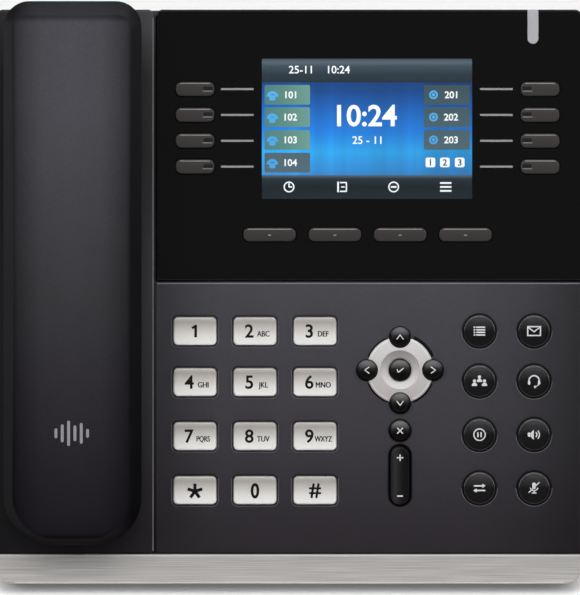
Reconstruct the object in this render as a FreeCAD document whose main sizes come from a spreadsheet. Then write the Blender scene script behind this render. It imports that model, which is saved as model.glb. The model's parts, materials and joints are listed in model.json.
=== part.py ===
import FreeCAD, Part
import math
import os
import Sketcher

# Desk telephone with a handset, colour display, key field and folding stand.
# Every piece is drawn in the frame of the phone's face: X to the right, Y up the face,
# Z out of the face, with the origin at the middle of the bottom edge. The face is then
# tilted back to the angle at which the phone stands on the desk. Sizes are millimetres.

Vector = FreeCAD.Vector

SIZES = {
    # Stance: angle of the face, and the place of the face's origin over the desk.
    "tilt": 45.0,
    "front_offset": 86.4,
    "foot_lift": 5.75,
    # Base unit.
    "body_width": 205.0,
    "body_height": 201.0,
    "front_depth": 12.0,
    "tray_depth": 4.0,
    "heel_depth": 6.0,
    "wall": 2.4,
    "top_wall": 3.6,
    "top_corner": 2.4,
    "bottom_corner": 6.0,
    "edge_round": 1.0,
    # Lines that divide the face.
    "divider_u": -46.9,
    "divider_width": 1.0,
    "divider_depth": 1.4,
    "panel_line": 105.6,
    "panel_gap": 0.6,
    "panel_ledge": 3.0,
    # Brushed trim along the bottom edge.
    "trim_height": 10.4,
    "trim_back": 1.8,
    "trim_proud": 0.5,
    "trim_gap": 0.5,
    # Handset.
    "handset_u": -75.5,
    "handset_low": 13.6,
    "handset_high": 203.6,
    "handset_width": 48.1,
    "handset_parting": 10.0,
    "handset_crown": 22.0,
    "handset_crown_drop": 2.0,
    "handset_face_width": 39.9,
    "handset_face_low": 17.1,
    "handset_face_high": 196.9,
    "handset_seam": 0.3,
    "handset_tip": -6.0,
    "handset_tip_width": 37.0,
    "handset_tip_low": 21.0,
    "handset_tip_high": 190.0,
    "grip_middle": 105.0,
    "grip_half": 44.0,
    "grip_clear": 8.0,
    # Cradle wells for the two ends of the handset.
    "well_width": 43.6,
    "well_low": 16.6,
    "well_low_top": 81.0,
    "well_high_low": 129.0,
    "well_high": 196.6,
    "well_depth": 6.5,
    "well_corner": 8.0,
    # Keys, common to all of them.
    "key_hole_gap": 0.35,
    "key_hole_lip": 0.4,
    "flange_lip": 0.55,
    "flange_gap": 0.3,
    "flange_thick": 1.0,
    "plunger_radius": 1.9,
    "plunger_end": 7.8,
    # Dial keys.
    "dial_width": 15.0,
    "dial_height": 9.8,
    "dial_corner": 1.6,
    "dial_proud": 1.8,
    "dial_first_u": -32.9,
    "dial_pitch": 21.0,
    "dial_row_1": 88.45,
    "dial_row_2": 70.6,
    "dial_row_3": 51.7,
    "dial_row_4": 32.8,
    # Line keys and soft keys.
    "line_width": 13.6,
    "line_height": 5.0,
    "strip_corner": 2.0,
    "strip_proud": 1.0,
    "line_left_u": -32.9,
    "line_right_u": 87.85,
    "line_top_v": 173.15,
    "line_pitch": 9.05,
    "soft_width": 18.4,
    "soft_height": 4.8,
    "soft_first_u": -6.8,
    "soft_pitch": 22.85,
    "soft_v": 122.2,
    # Round function keys.
    "function_radius": 5.6,
    "function_proud": 1.5,
    "function_dish": 0.4,
    "function_left_u": 66.65,
    "function_right_u": 85.75,
    "function_row_1": 88.45,
    "function_row_2": 70.95,
    "function_row_3": 52.2,
    "function_row_4": 33.5,
    # Navigation cluster, cancel key and volume rocker.
    "nav_u": 38.85,
    "nav_v": 74.8,
    "nav_radius": 11.7,
    "nav_seat": 1.4,
    "nav_proud": 1.1,
    "arrow_reach": 11.55,
    "arrow_radius": 3.5,
    "arrow_proud": 2.3,
    "ok_radius": 3.6,
    "cancel_v": 53.6,
    "volume_v": 37.95,
    "volume_width": 7.0,
    "volume_length": 20.5,
    "volume_proud": 1.7,
    "volume_pivot": 3.8,
    "pivot_radius": 1.2,
    "volume_plunger": 7.0,
    # Display.
    "display_u": 27.3,
    "display_v": 159.3,
    "view_width": 73.6,
    "view_height": 49.1,
    "window_border": 2.2,
    "window_depth": 1.2,
    "module_width": 85.0,
    "module_height": 57.0,
    "module_thick": 3.4,
    # Message lamp.
    "lamp_u": 85.4,
    "lamp_width": 3.8,
    "lamp_height": 12.0,
    # Boards and key mat.
    "board_level": 9.2,
    "board_thick": 1.6,
    "mat_thick": 1.2,
    "mat_collar": 5.2,
    "main_board_level": 16.4,
    # Rear housing hump, jack step and hinge lugs.
    "hump_half": 86.0,
    "hump_low": 100.0,
    "hump_high": 192.0,
    "hump_depth": 34.0,
    "hinge_v": 150.0,
    "hinge_w": -38.0,
    "hinge_pin": 2.0,
    "hinge_play": 0.06,
    "lug_u": 58.0,
    "lug_width": 6.0,
    # Folding stand.
    "stand_half": 54.0,
    "stand_reach": 35.0,
    "stand_thick": 4.4,
    "foot_pad": 1.5,
    # Screws that close the housing.
    "boss_radius": 3.2,
    "screw_radius": 1.5,
    "screw_head": 2.8,
}


class Size:
    """A number together with the spreadsheet expression it comes from."""

    def __init__(self, number, text):
        self.number = number
        self.text = text

    def __add__(self, other):
        other = as_size(other)
        return Size(self.number + other.number, f"({self.text} + {other.text})")

    def __sub__(self, other):
        other = as_size(other)
        return Size(self.number - other.number, f"({self.text} - {other.text})")

    def __mul__(self, other):
        other = as_size(other)
        return Size(self.number * other.number, f"({self.text} * {other.text})")

    def __truediv__(self, other):
        other = as_size(other)
        return Size(self.number / other.number, f"({self.text} / {other.text})")

    def __radd__(self, other):
        return as_size(other) + self

    def __rsub__(self, other):
        return as_size(other) - self

    def __rmul__(self, other):
        return as_size(other) * self

    def __neg__(self):
        return as_size(0) - self


def as_size(value):
    return value if isinstance(value, Size) else Size(float(value), f"{float(value):.6g}")


doc = FreeCAD.newDocument("desk_phone")
sheet = doc.addObject("Spreadsheet::Sheet", "sizes")
for row, (name, number) in enumerate(SIZES.items(), start=1):
    sheet.set(f"A{row}", name)
    sheet.set(f"B{row}", str(number))
    sheet.setAlias(f"B{row}", name)
doc.recompute()


class Sheet:
    """Reads a spreadsheet cell by its alias."""

    def __getattr__(self, name):
        return Size(float(sheet.get(name)), f"sizes.{name}")


S = Sheet()
COS = Size(math.cos(math.radians(S.tilt.number)), "cos(sizes.tilt * 1deg)")
SIN = Size(math.sin(math.radians(S.tilt.number)), "sin(sizes.tilt * 1deg)")

finished = {}


# Binding sizes to the document.

def bind(target, path, size):
    size = as_size(size)
    if "sizes." in size.text:
        target.setExpression(path, size.text)
    return size.number


def desk_y(v, w):
    return v * COS - w * SIN - S.front_offset


def desk_z(v, w):
    return v * SIN + w * COS + S.foot_lift


def put(target, x, y, z, tilted):
    angle = S.tilt.number if tilted else 0.0
    base = Vector(as_size(x).number, as_size(y).number, as_size(z).number)
    target.Placement = FreeCAD.Placement(base, FreeCAD.Rotation(Vector(1, 0, 0), angle))
    bind(target, "Placement.Base.x", x)
    bind(target, "Placement.Base.y", y)
    bind(target, "Placement.Base.z", z)
    if tilted:
        bind(target, "Placement.Rotation.Angle", S.tilt)


def on_face(target, u=0, v=0, w=0):
    v, w = as_size(v), as_size(w)
    put(target, u, desk_y(v, w), desk_z(v, w), tilted=True)


def node(target, label):
    target.Label = label
    finished[label] = target
    return target


# Sketches.

def new_body(label):
    body = doc.addObject("PartDesign::Body", label)
    body.Label = label
    return body


def origin_plane(body, role):
    return next(item for item in body.Origin.OriginFeatures if item.Role == role)


class Drawing:
    """Collects the lines and dimensions of one sketch, then writes them into it together."""

    def __init__(self):
        self.geometry = []
        self.relations = []
        self.dimensions = []

    def draw(self, *shapes):
        self.geometry.extend(shapes)
        return len(self.geometry) - len(shapes)

    def relate(self, kind, *geometry):
        self.relations.append(Sketcher.Constraint(kind, *geometry))

    def measure(self, kind, geometry, size):
        self.dimensions.append((kind, geometry, as_size(size)))

    def pin(self, geometry, point, x, y):
        for axis, kind, size in ((-2, "DistanceX", as_size(x)), (-1, "DistanceY", as_size(y))):
            if size.number == 0 and "sizes." not in size.text:
                self.relate("PointOnObject", geometry, point, axis)
            else:
                self.measure(kind, (-1, 1, geometry, point), size)

    def write(self, sketch):
        sketch.addGeometry(self.geometry, False)
        measured = [Sketcher.Constraint(kind, *geometry, size.number) for kind, geometry, size in self.dimensions]
        sketch.addConstraint(self.relations + measured)
        for index, (_, _, size) in enumerate(self.dimensions, start=len(self.relations)):
            bind(sketch, f"Constraints[{index}]", size)


def sketch_on(body, role, level, draw, *values):
    sketch = body.newObject("Sketcher::SketchObject", body.Label + "_sketch")
    sketch.AttachmentSupport = [(origin_plane(body, role), "")]
    sketch.MapMode = "FlatFace"
    level = as_size(level)
    sketch.AttachmentOffset = FreeCAD.Placement(Vector(0, 0, level.number), FreeCAD.Rotation())
    bind(sketch, "AttachmentOffset.Base.z", level)
    drawing = Drawing()
    draw(drawing, *values)
    drawing.write(sketch)
    return sketch


def circle(drawing, x, y, radius):
    x, y, radius = as_size(x), as_size(y), as_size(radius)
    index = drawing.draw(Part.Circle(Vector(x.number, y.number, 0), Vector(0, 0, 1), radius.number))
    drawing.pin(index, 3, x, y)
    drawing.measure("Radius", (index,), radius)


def outline(drawing, points, arcs=None):
    """Closed outline through the points; arcs gives the radius of a curved side by its number."""
    arcs = arcs or {}
    points = [(as_size(x), as_size(y)) for x, y in points]
    corners = [Vector(x.number, y.number, 0) for x, y in points]
    count = len(points)
    shapes = []
    for side in range(count):
        start, end = corners[side], corners[(side + 1) % count]
        if side in arcs:
            shapes.append(arc_between(start, end, as_size(arcs[side]).number))
        else:
            shapes.append(Part.LineSegment(start, end))
    first = drawing.draw(*shapes)
    # A side that turns right is kept as an arc run the other way, so its ends change places.
    turned = [side in arcs and as_size(arcs[side]).number < 0 for side in range(count)]
    for side in range(count):
        following = (side + 1) % count
        end, start = 1 if turned[side] else 2, 2 if turned[following] else 1
        drawing.relate("Coincident", first + side, end, first + following, start)
    for side, (x, y) in enumerate(points):
        drawing.pin(first + side, 2 if turned[side] else 1, x, y)
    for side, radius in arcs.items():
        drawing.measure("Radius", (first + side,), -radius if turned[side] else radius)


def arc_between(start, end, radius):
    """Arc that turns left from start to end for a positive radius, right for a negative one."""
    middle = (start + end) * 0.5
    along = end - start
    left = Vector(-along.y, along.x, 0).normalize()
    rise = math.sqrt(max(radius * radius - along.Length ** 2 / 4, 0))
    sign = 1 if radius > 0 else -1
    centre = middle + left * (rise * sign)
    crest = centre - left * (abs(radius) * sign)
    return Part.Arc(start, crest, end)


def rounded(drawing, x, y, width, height, low_radius, high_radius=None):
    """Rectangle about a centre, with one radius for its low corners and one for its high ones."""
    x, y, width, height = as_size(x), as_size(y), as_size(width), as_size(height)
    low, high = as_size(low_radius), as_size(low_radius if high_radius is None else high_radius)
    left, right = x - width / 2, x + width / 2
    bottom, top = y - height / 2, y + height / 2
    x0, x1, y0, y1 = left.number, right.number, bottom.number, top.number
    a, b = low.number, high.number
    up = Vector(0, 0, 1)

    def line(xa, ya, xb, yb):
        return Part.LineSegment(Vector(xa, ya, 0), Vector(xb, yb, 0))

    def corner(cx, cy, radius, quarter):
        start = quarter * math.pi / 2
        return Part.ArcOfCircle(Part.Circle(Vector(cx, cy, 0), up, radius), start, start + math.pi / 2)

    first = drawing.draw(
        line(x0 + a, y0, x1 - a, y0), corner(x1 - a, y0 + a, a, 3),
        line(x1, y0 + a, x1, y1 - b), corner(x1 - b, y1 - b, b, 0),
        line(x1 - b, y1, x0 + b, y1), corner(x0 + b, y1 - b, b, 1),
        line(x0, y1 - b, x0, y0 + a), corner(x0 + a, y0 + a, a, 2),
    )
    for side in range(8):
        drawing.relate("Tangent", first + side, 2, first + (side + 1) % 8, 1)
    for side, kind in ((0, "Horizontal"), (2, "Vertical"), (4, "Horizontal"), (6, "Vertical")):
        drawing.relate(kind, first + side)
    drawing.relate("Equal", first + 1, first + 7)
    drawing.relate("Equal", first + 3, first + 5)
    drawing.measure("DistanceX", (-1, 1, first + 6, 1), left)
    drawing.measure("DistanceX", (-1, 1, first + 2, 1), right)
    drawing.measure("DistanceY", (-1, 1, first, 1), bottom)
    drawing.measure("DistanceY", (-1, 1, first + 4, 1), top)
    drawing.measure("Radius", (first + 1,), low)
    drawing.measure("Radius", (first + 3,), high)


# Features. Levels run along the normal of the face unless a name says otherwise.

def extrude(body, kind, sketch, length, symmetric=False):
    feature = body.newObject(kind, body.Label + "_feature")
    feature.Profile = sketch
    if symmetric:
        feature.SideType = "Symmetric"
    feature.Length = bind(feature, "Length", length)
    return feature


def add(body, low, high, draw, *values):
    sketch = sketch_on(body, "XY_Plane", low, draw, *values)
    return extrude(body, "PartDesign::Pad", sketch, as_size(high) - low)


def cut(body, low, high, draw, *values):
    sketch = sketch_on(body, "XY_Plane", high, draw, *values)
    return extrude(body, "PartDesign::Pocket", sketch, as_size(high) - low)


def add_across(body, middle, width, draw, *values):
    sketch = sketch_on(body, "YZ_Plane", middle, draw, *values)
    return extrude(body, "PartDesign::Pad", sketch, width, symmetric=True)


def cut_across(body, middle, width, draw, *values):
    sketch = sketch_on(body, "YZ_Plane", middle, draw, *values)
    return extrude(body, "PartDesign::Pocket", sketch, width, symmetric=True)


def add_downward(body, high_v, length, draw, *values):
    sketch = sketch_on(body, "XZ_Plane", -as_size(high_v), draw, *values)
    return extrude(body, "PartDesign::Pad", sketch, length)


def cut_upward(body, low_v, high_v, draw, *values):
    sketch = sketch_on(body, "XZ_Plane", -as_size(low_v), draw, *values)
    return extrude(body, "PartDesign::Pocket", sketch, as_size(high_v) - low_v)


def many(drawing, draw, rows):
    for values in rows:
        draw(drawing, *values)


def edges_where(body, accept):
    """Names of the body's edges whose bounding box is accepted."""
    doc.recompute()
    return [f"Edge{index}" for index, edge in enumerate(body.Shape.Edges, start=1) if accept(edge.BoundBox)]


def edges_at(body, level, accept=None):
    """Names of the body's edges that lie in one level, or those of them accepted."""
    height = as_size(level).number

    def flat(box):
        in_level = abs(box.ZMin - height) < 1e-4 and abs(box.ZMax - height) < 1e-4
        return in_level and (accept is None or accept(box))

    return edges_where(body, flat)


def soften(body, kind, property_name, size, names):
    base = body.Tip
    feature = body.newObject(kind, body.Label + "_edge")
    feature.Base = (base, names)
    setattr(feature, property_name, bind(feature, property_name, size))
    return feature


def fillet(body, radius, level, accept=None):
    return soften(body, "PartDesign::Fillet", "Radius", radius, edges_at(body, level, accept))


def chamfer(body, size, level, accept=None):
    return soften(body, "PartDesign::Chamfer", "Size", size, edges_at(body, level, accept))


def loft(body, first, second):
    feature = body.newObject("PartDesign::AdditiveLoft", body.Label + "_loft")
    feature.Profile = (first, [""])
    feature.Sections = [(second, [""])]
    feature.Ruled = True
    return feature


def group(label, members):
    compound = doc.addObject("Part::Compound", label)
    compound.Links = members
    return node(compound, label)


# Places of the keys on the face.

DIAL_ROWS = (S.dial_row_1, S.dial_row_2, S.dial_row_3, S.dial_row_4)
DIAL_NAMES = (("1", "2", "3"), ("4", "5", "6"), ("7", "8", "9"), ("star", "0", "hash"))
FUNCTION_ROWS = (S.function_row_1, S.function_row_2, S.function_row_3, S.function_row_4)
FUNCTION_NAMES = (
    ("list_key", "message_key"), ("conference_key", "headset_key"),
    ("hold_key", "speaker_key"), ("transfer_key", "mute_key"),
)

dial_places = {
    f"dial_key_{name}": (S.dial_first_u + column * S.dial_pitch, v)
    for v, names in zip(DIAL_ROWS, DIAL_NAMES) for column, name in enumerate(names)
}
line_places = {
    f"line_key_{side}_{row + 1}": (u, S.line_top_v - row * S.line_pitch)
    for side, u in (("left", S.line_left_u), ("right", S.line_right_u)) for row in range(4)
}
soft_places = {
    f"soft_key_{column + 1}": (S.soft_first_u + column * S.soft_pitch, S.soft_v) for column in range(4)
}
function_places = {
    name: (u, v)
    for v, names in zip(FUNCTION_ROWS, FUNCTION_NAMES)
    for u, name in zip((S.function_left_u, S.function_right_u), names)
}
arrow_places = {
    "up_key": (S.nav_u, S.nav_v + S.arrow_reach),
    "down_key": (S.nav_u, S.nav_v - S.arrow_reach),
    "left_key": (S.nav_u - S.arrow_reach, S.nav_v),
    "right_key": (S.nav_u + S.arrow_reach, S.nav_v),
}
ok_place = (S.nav_u, S.nav_v)
cancel_place = (S.nav_u, S.cancel_v)
volume_place = (S.nav_u, S.volume_v)

BOSSES = ((-47.6, 22.0), (-47.6, 94.0), (97.2, 22.0), (97.2, 189.0))


# Keys. Each has a cap, a flange that holds it under the face, and a plunger.

FLANGE_TOP = -(S.wall + S.flange_gap)
FLANGE_LOW = FLANGE_TOP - S.flange_thick


def flange_grow():
    return 2 * (S.key_hole_gap + S.flange_lip)


def long_key(label, place, width, height, corner, proud, edge):
    body = new_body(label)
    grow = flange_grow()
    add(body, FLANGE_LOW, FLANGE_TOP, rounded, 0, 0, width + grow, height + grow, corner)
    add(body, FLANGE_TOP, proud, rounded, 0, 0, width, height, corner)
    add(body, -S.plunger_end, FLANGE_LOW, circle, 0, 0, S.plunger_radius)
    fillet(body, edge, proud)
    on_face(body, *place)
    return node(body, label)


def round_key(label, place, radius, proud, edge, dish=None):
    body = new_body(label)
    add(body, FLANGE_LOW, FLANGE_TOP, circle, 0, 0, radius + flange_grow() / 2)
    add(body, FLANGE_TOP, proud, circle, 0, 0, radius)
    add(body, -S.plunger_end, FLANGE_LOW, circle, 0, 0, S.plunger_radius)
    fillet(body, edge, proud)
    if dish is not None:
        cut(body, proud - dish, proud, circle, 0, 0, radius * 0.8)
        chamfer(body, dish * 0.6, proud, lambda box: box.XLength < 1.7 * radius.number)
    on_face(body, *place)
    return node(body, label)


def volume_rocker():
    """Rocks on a round bar across its middle, so its flange sits lower than those of the keys."""
    body = new_body("volume_rocker")
    grow = flange_grow()
    corner = S.volume_width / 2 - 0.05
    low = -S.volume_pivot - S.flange_thick / 2
    top = low + S.flange_thick
    add(body, low, top, rounded, 0, 0, S.volume_width + grow, S.volume_length + 1.3, corner)
    add(body, top, S.volume_proud, rounded, 0, 0, S.volume_width, S.volume_length, corner)
    add_across(body, 0, S.volume_width, circle, 0, -S.volume_pivot, S.pivot_radius)
    for end in (-1, 1):
        add(body, -S.plunger_end, low, circle, 0, end * S.volume_plunger, S.plunger_radius - 0.3)
    fillet(body, 1.0, S.volume_proud)
    on_face(body, *volume_place)
    return node(body, "volume_rocker")


def build_keys():
    for label, place in dial_places.items():
        long_key(label, place, S.dial_width, S.dial_height, S.dial_corner, S.dial_proud, 0.7)
    for label, place in line_places.items():
        long_key(label, place, S.line_width, S.line_height, S.strip_corner, S.strip_proud, 0.5)
    for label, place in soft_places.items():
        long_key(label, place, S.soft_width, S.soft_height, S.strip_corner, S.strip_proud, 0.5)
    for label, place in function_places.items():
        round_key(label, place, S.function_radius, S.function_proud, 0.5, S.function_dish)
    for label, place in arrow_places.items():
        round_key(label, place, S.arrow_radius, S.arrow_proud, 1.5)
    round_key("ok_key", ok_place, S.ok_radius, S.arrow_proud - 0.5, 1.2)
    round_key("cancel_key", cancel_place, S.arrow_radius, S.arrow_proud - 0.4, 1.2)
    volume_rocker()


# Front of the base unit.

LEDGE = S.wall * 2


def cavity(drawing):
    """Inside of the base unit, seen along the normal of the face."""
    low, high = as_size(11.0), S.body_height - S.top_wall
    width = S.body_width - 2 * S.wall
    rounded(drawing, 0, (low + high) / 2, width, high - low, S.bottom_corner, S.top_corner)


def heel(drawing):
    reach = S.front_depth + S.tray_depth + 2
    outline(drawing, [
        (-2, 2 - S.heel_depth), (-2, -reach), (reach - S.heel_depth, -reach),
    ])


def well(drawing, low, high, grow=0.0):
    width, height = S.well_width + 2 * as_size(grow), high - low + 2 * as_size(grow)
    rounded(drawing, S.handset_u, (low + high) / 2, width, height, S.well_corner)


def top_notch(drawing):
    """Gap at the top edge between the rounded corners of cradle and panel."""
    r = S.top_corner
    left, right = S.divider_u - S.divider_width / 2 + 0.2, S.divider_u + S.divider_width / 2 - 0.2
    top = S.body_height
    outline(drawing, [
        (left - r, top + 1), (left - r, top), (left, top - r), (left, top - r - 0.4),
        (right, top - r - 0.4), (right, top - r), (right + r, top), (right + r, top + 1),
    ], {1: -r, 5: -r})


def panel_rectangle(drawing, inset):
    """Area of the upper panel, run past the right and top edges unless it is inset."""
    inset = as_size(inset)
    left, low = S.divider_u + inset, S.panel_line + inset
    past = inset + S.wall if inset.number > 0 else as_size(-3)
    right, high = S.body_width / 2 - past, S.body_height - past
    outline(drawing, [(left, low), (right, low), (right, high), (left, high)])


def front_housing():
    body = new_body("front_housing")
    middle = S.body_height / 2
    add(body, -S.front_depth, 0, rounded, 0, middle, S.body_width, S.body_height, S.bottom_corner, S.top_corner)
    fillet(body, S.edge_round, 0)
    cut_across(body, 0, S.body_width + 10, heel)
    cut(body, -S.front_depth - 2, -LEDGE, cavity)
    # Thinner face behind the keys of the lower panel.
    low, high = as_size(14.0), S.panel_line - 2.4
    left, right = as_size(-44.0), S.body_width / 2 - S.wall - 1.0
    cut(body, -S.front_depth, -S.wall, rounded,
        (left + right) / 2, (low + high) / 2, right - left, high - low, 3.0)
    # Seats of the upper panel and of the trim.
    cut(body, -S.wall, 2, panel_rectangle, 0)
    cut(body, -S.front_depth, 0, panel_rectangle, S.panel_ledge)
    trim_top = S.trim_height + S.trim_gap
    half = S.body_width / 2 + 2
    cut(body, -S.trim_back, 2, outline, [(-half, -2), (half, -2), (half, trim_top), (-half, trim_top)])
    # Screw bosses.
    for top, bosses in ((-S.wall, BOSSES[:-1]), (-LEDGE, BOSSES[-1:])):
        add(body, -S.front_depth, top, many, circle, [(u, v, S.boss_radius) for u, v in bosses])
    cut(body, -S.front_depth, -5.2, many, circle, [(u, v, S.screw_radius + 0.05) for u, v in BOSSES])
    # Wells of the cradle.
    floor = S.well_depth + S.wall
    for low, high in ((S.well_low, S.well_low_top), (S.well_high_low, S.well_high)):
        add(body, -floor, -LEDGE, well, low, high, S.wall - 0.2)
        cut(body, -S.well_depth, 2, well, low, high)
    cut(body, -floor - 1, 0, rounded, S.handset_u, 156.0, 12.6, 5.6, 1.5)
    slots = [(S.handset_u, 93.0 + 6 * step, 26.0, 2.2, 1.0) for step in range(5)]
    cut(body, -S.front_depth, 2, many, rounded, slots)
    # Groove between cradle and panels, open to the top in a notch.
    groove_low, groove_high = S.trim_height, S.body_height + 2
    left, right = S.divider_u - S.divider_width / 2, S.divider_u + S.divider_width / 2
    cut(body, -S.divider_depth, 2, outline,
        [(left, groove_low), (right, groove_low), (right, groove_high), (left, groove_high)])
    cut(body, -S.front_depth - 1, 2, top_notch)
    # Openings for the keys of the lower panel, and the seat of the navigation disc.
    gap = 2 * S.key_hole_gap
    places = [*dial_places.values()]
    for row in (places[0:3], places[3:6], places[6:9], places[9:12]):
        cut(body, -LEDGE, 2, many, rounded, [
            (u, v, S.dial_width + gap, S.dial_height + gap, S.dial_corner + S.key_hole_gap) for u, v in row
        ])
    round_holes = [(u, v, S.function_radius + S.key_hole_gap) for u, v in function_places.values()]
    round_holes += [(u, v, S.arrow_radius + S.key_hole_gap) for u, v in [*arrow_places.values(), cancel_place]]
    round_holes.append((*ok_place, S.ok_radius + S.key_hole_gap))
    cut(body, -LEDGE, 2, many, circle, round_holes)
    cut(body, -S.nav_seat, 2, circle, *ok_place, S.nav_radius + 0.2)
    cut(body, -LEDGE, 2, rounded, *volume_place, S.volume_width + 0.9, S.volume_length + 1.2,
        S.volume_width / 2 + 0.4)
    # Bevelled lips of the openings outside the navigation disc.
    disc_low = (S.nav_v - S.nav_radius).number - 5
    disc_right = (S.nav_u + S.nav_radius).number + 5
    disc_left = (S.nav_u - S.nav_radius).number - 5

    def is_lip(box):
        on_panel = box.XMin > -44 and box.XMax < 95 and box.YMin > 20 and box.YMax < 98
        beside_disc = box.XMax < disc_left or box.XMin > disc_right or box.YMax < disc_low
        return on_panel and beside_disc

    chamfer(body, S.key_hole_lip, 0, is_lip)
    on_face(body)
    return node(body, "front_housing")


def display_bezel():
    body = new_body("display_bezel")
    left, right = S.divider_u + S.divider_width / 2 - 0.2, S.body_width / 2
    low, high = S.panel_line + S.panel_gap, S.body_height
    add(body, -S.wall, 0, rounded, (left + right) / 2, (low + high) / 2, right - left, high - low,
        0.5, S.top_corner)
    fillet(body, 0.6, 0)
    gap = 2 * S.key_hole_gap
    line = [*line_places.values()]
    for strip, width, height in (
        (line[:4], S.line_width, S.line_height), (line[4:], S.line_width, S.line_height),
        ([*soft_places.values()], S.soft_width, S.soft_height),
    ):
        cut(body, -S.wall - 1, 1, many, rounded, [
            (u, v, width + gap, height + gap, S.strip_corner + S.key_hole_gap) for u, v in strip
        ])
    cut(body, -S.wall - 1, 1, rounded, S.display_u, S.display_v, S.view_width, S.view_height, 0.5)
    border = 2 * S.window_border
    cut(body, -S.wall - 1, -S.window_depth, rounded, S.display_u, S.display_v,
        S.view_width + border, S.view_height + border, 1.0)
    slot_high = S.body_height + 2
    slot_low = S.body_height - S.lamp_height - 0.2
    cut(body, -S.wall - 1, 1, rounded, S.lamp_u, (slot_low + slot_high) / 2, S.lamp_width + 0.4,
        slot_high - slot_low, S.lamp_width / 2 + 0.1, 0.5)
    on_face(body)
    return node(body, "display_bezel")


def display_window():
    body = new_body("display_window")
    border = 2 * S.window_border - 0.2
    add(body, -S.wall, -S.window_depth, rounded, S.display_u, S.display_v,
        S.view_width + border, S.view_height + border, 0.9)
    on_face(body)
    return node(body, "display_window")


def display_module():
    body = new_body("display_module")
    front = -S.wall - 0.2
    rear = front - S.module_thick
    add(body, rear, front, rounded, S.display_u, S.display_v, S.module_width, S.module_height, 1.0)
    reach_u, reach_v = S.module_width / 2 - 3, S.module_height / 2 - 3
    legs = [(S.display_u + a * reach_u, S.display_v + b * reach_v, 2.0) for a in (-1, 1) for b in (-1, 1)]
    add(body, -S.board_level, rear, many, circle, legs)
    on_face(body)
    return node(body, "display_module")


def message_lamp():
    body = new_body("message_lamp")
    low, high = S.body_height - S.lamp_height, S.body_height
    add(body, -S.wall, 0.2, rounded, S.lamp_u, (low + high) / 2, S.lamp_width, high - low,
        S.lamp_width / 2 - 0.05, 0.4)
    fillet(body, 0.15, 0.2)
    add(body, -S.board_level, -S.wall, circle, S.lamp_u, low + 2.6, 1.4)
    on_face(body)
    return node(body, "message_lamp")


def front_trim():
    body = new_body("front_trim")
    add(body, -S.trim_back, S.trim_proud, rounded, 0, S.trim_height / 2, S.body_width, S.trim_height,
        S.bottom_corner, 0.6)
    chamfer(body, 0.4, S.trim_proud)
    on_face(body)
    return node(body, "front_trim")


def navigation_ring():
    body = new_body("navigation_ring")
    add(body, -S.nav_seat, S.nav_proud, circle, 0, 0, S.nav_radius)
    fillet(body, 0.6, S.nav_proud)
    cut(body, S.nav_proud - 0.9, S.nav_proud, circle, 0, 0, S.ok_radius + 2.3)
    chamfer(body, 0.85, S.nav_proud, lambda box: box.XLength < 2 * S.nav_radius.number - 4)
    holes = [(0, 0, S.ok_radius + S.key_hole_gap)]
    reach = S.arrow_reach
    holes += [(a * reach, b * reach, S.arrow_radius + S.key_hole_gap)
              for a, b in ((0, 1), (0, -1), (-1, 0), (1, 0))]
    cut(body, -S.nav_seat - 1, S.nav_proud + 1, many, circle, holes)
    on_face(body, *ok_place)
    return node(body, "navigation_ring")


# Inside of the base unit.

def plunger_places():
    places = [*dial_places.values(), *line_places.values(), *soft_places.values()]
    places += [*function_places.values(), *arrow_places.values(), ok_place, cancel_place]
    u, v = volume_place
    return places + [(u, v - S.volume_plunger), (u, v + S.volume_plunger)]


def keypad_mat():
    body = new_body("keypad_mat")
    left, right, low, high = -42.8, 96.6, 26.0, 180.0
    inner_left, inner_right, inner_low = -20.0, 74.5, 128.0
    add(body, -S.board_level, S.mat_thick - S.board_level, outline, [
        (left, low), (right, low), (right, high), (inner_right, high),
        (inner_right, inner_low), (inner_left, inner_low), (inner_left, high), (left, high),
    ])
    places = plunger_places()
    collars = [(u, v, S.plunger_radius + 1.2) for u, v in places]
    add(body, -S.board_level, -S.mat_collar, many, circle, collars)
    # Ridge under the bar of the volume rocker.
    ridge = -S.volume_pivot - S.pivot_radius - 0.05
    add(body, -S.board_level, ridge, rounded, *volume_place, S.volume_width, 2.4, 0.4)
    holes = [(u, v, S.plunger_radius + 0.35) for u, v in places]
    cut(body, -S.board_level - 1, 0, many, circle, holes)
    on_face(body)
    return node(body, "keypad_mat")


def circuit_boards():
    body = new_body("circuit_boards")
    left, right, low, high = -43.4, 99.4, 13.0, 196.0
    rear = S.board_level + S.board_thick
    add(body, -rear, -S.board_level, rounded, (left + right) / 2, (low + high) / 2, right - left, high - low, 2.0)
    cut(body, -rear - 1, 0, many, circle, [(u, v, S.boss_radius + 0.4) for u, v in BOSSES if u > 0])
    add(body, -S.main_board_level, -rear, rounded, 30.0, 140.0, 40.0, 6.0, 0.5)
    level = S.main_board_level + S.board_thick
    add(body, -level, -S.main_board_level, rounded, 0, 145.0, 160.0, 82.0, 2.0)
    on_face(body)
    return node(body, "circuit_boards")


def loudspeaker():
    body = new_body("loudspeaker")
    add(body, -7.3, -LEDGE, circle, 0, 0, 18.0)
    add(body, -9.8, -7.3, circle, 0, 0, 14.0)
    add(body, -13.0, -9.8, circle, 0, 0, 11.0)
    on_face(body, S.handset_u, S.grip_middle)
    return node(body, "loudspeaker")


def hook_switch():
    body = new_body("hook_switch")
    add(body, -13.2, S.handset_tip - 0.1, rounded, 0, 0, 12.0, 5.0, 1.2)
    fillet(body, 0.8, S.handset_tip - 0.1)
    add(body, -14.4, -13.2, rounded, 0, 0, 15.0, 8.0, 1.2)
    on_face(body, S.handset_u, 156.0)
    return node(body, "hook_switch")


# Rear of the base unit.

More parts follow.
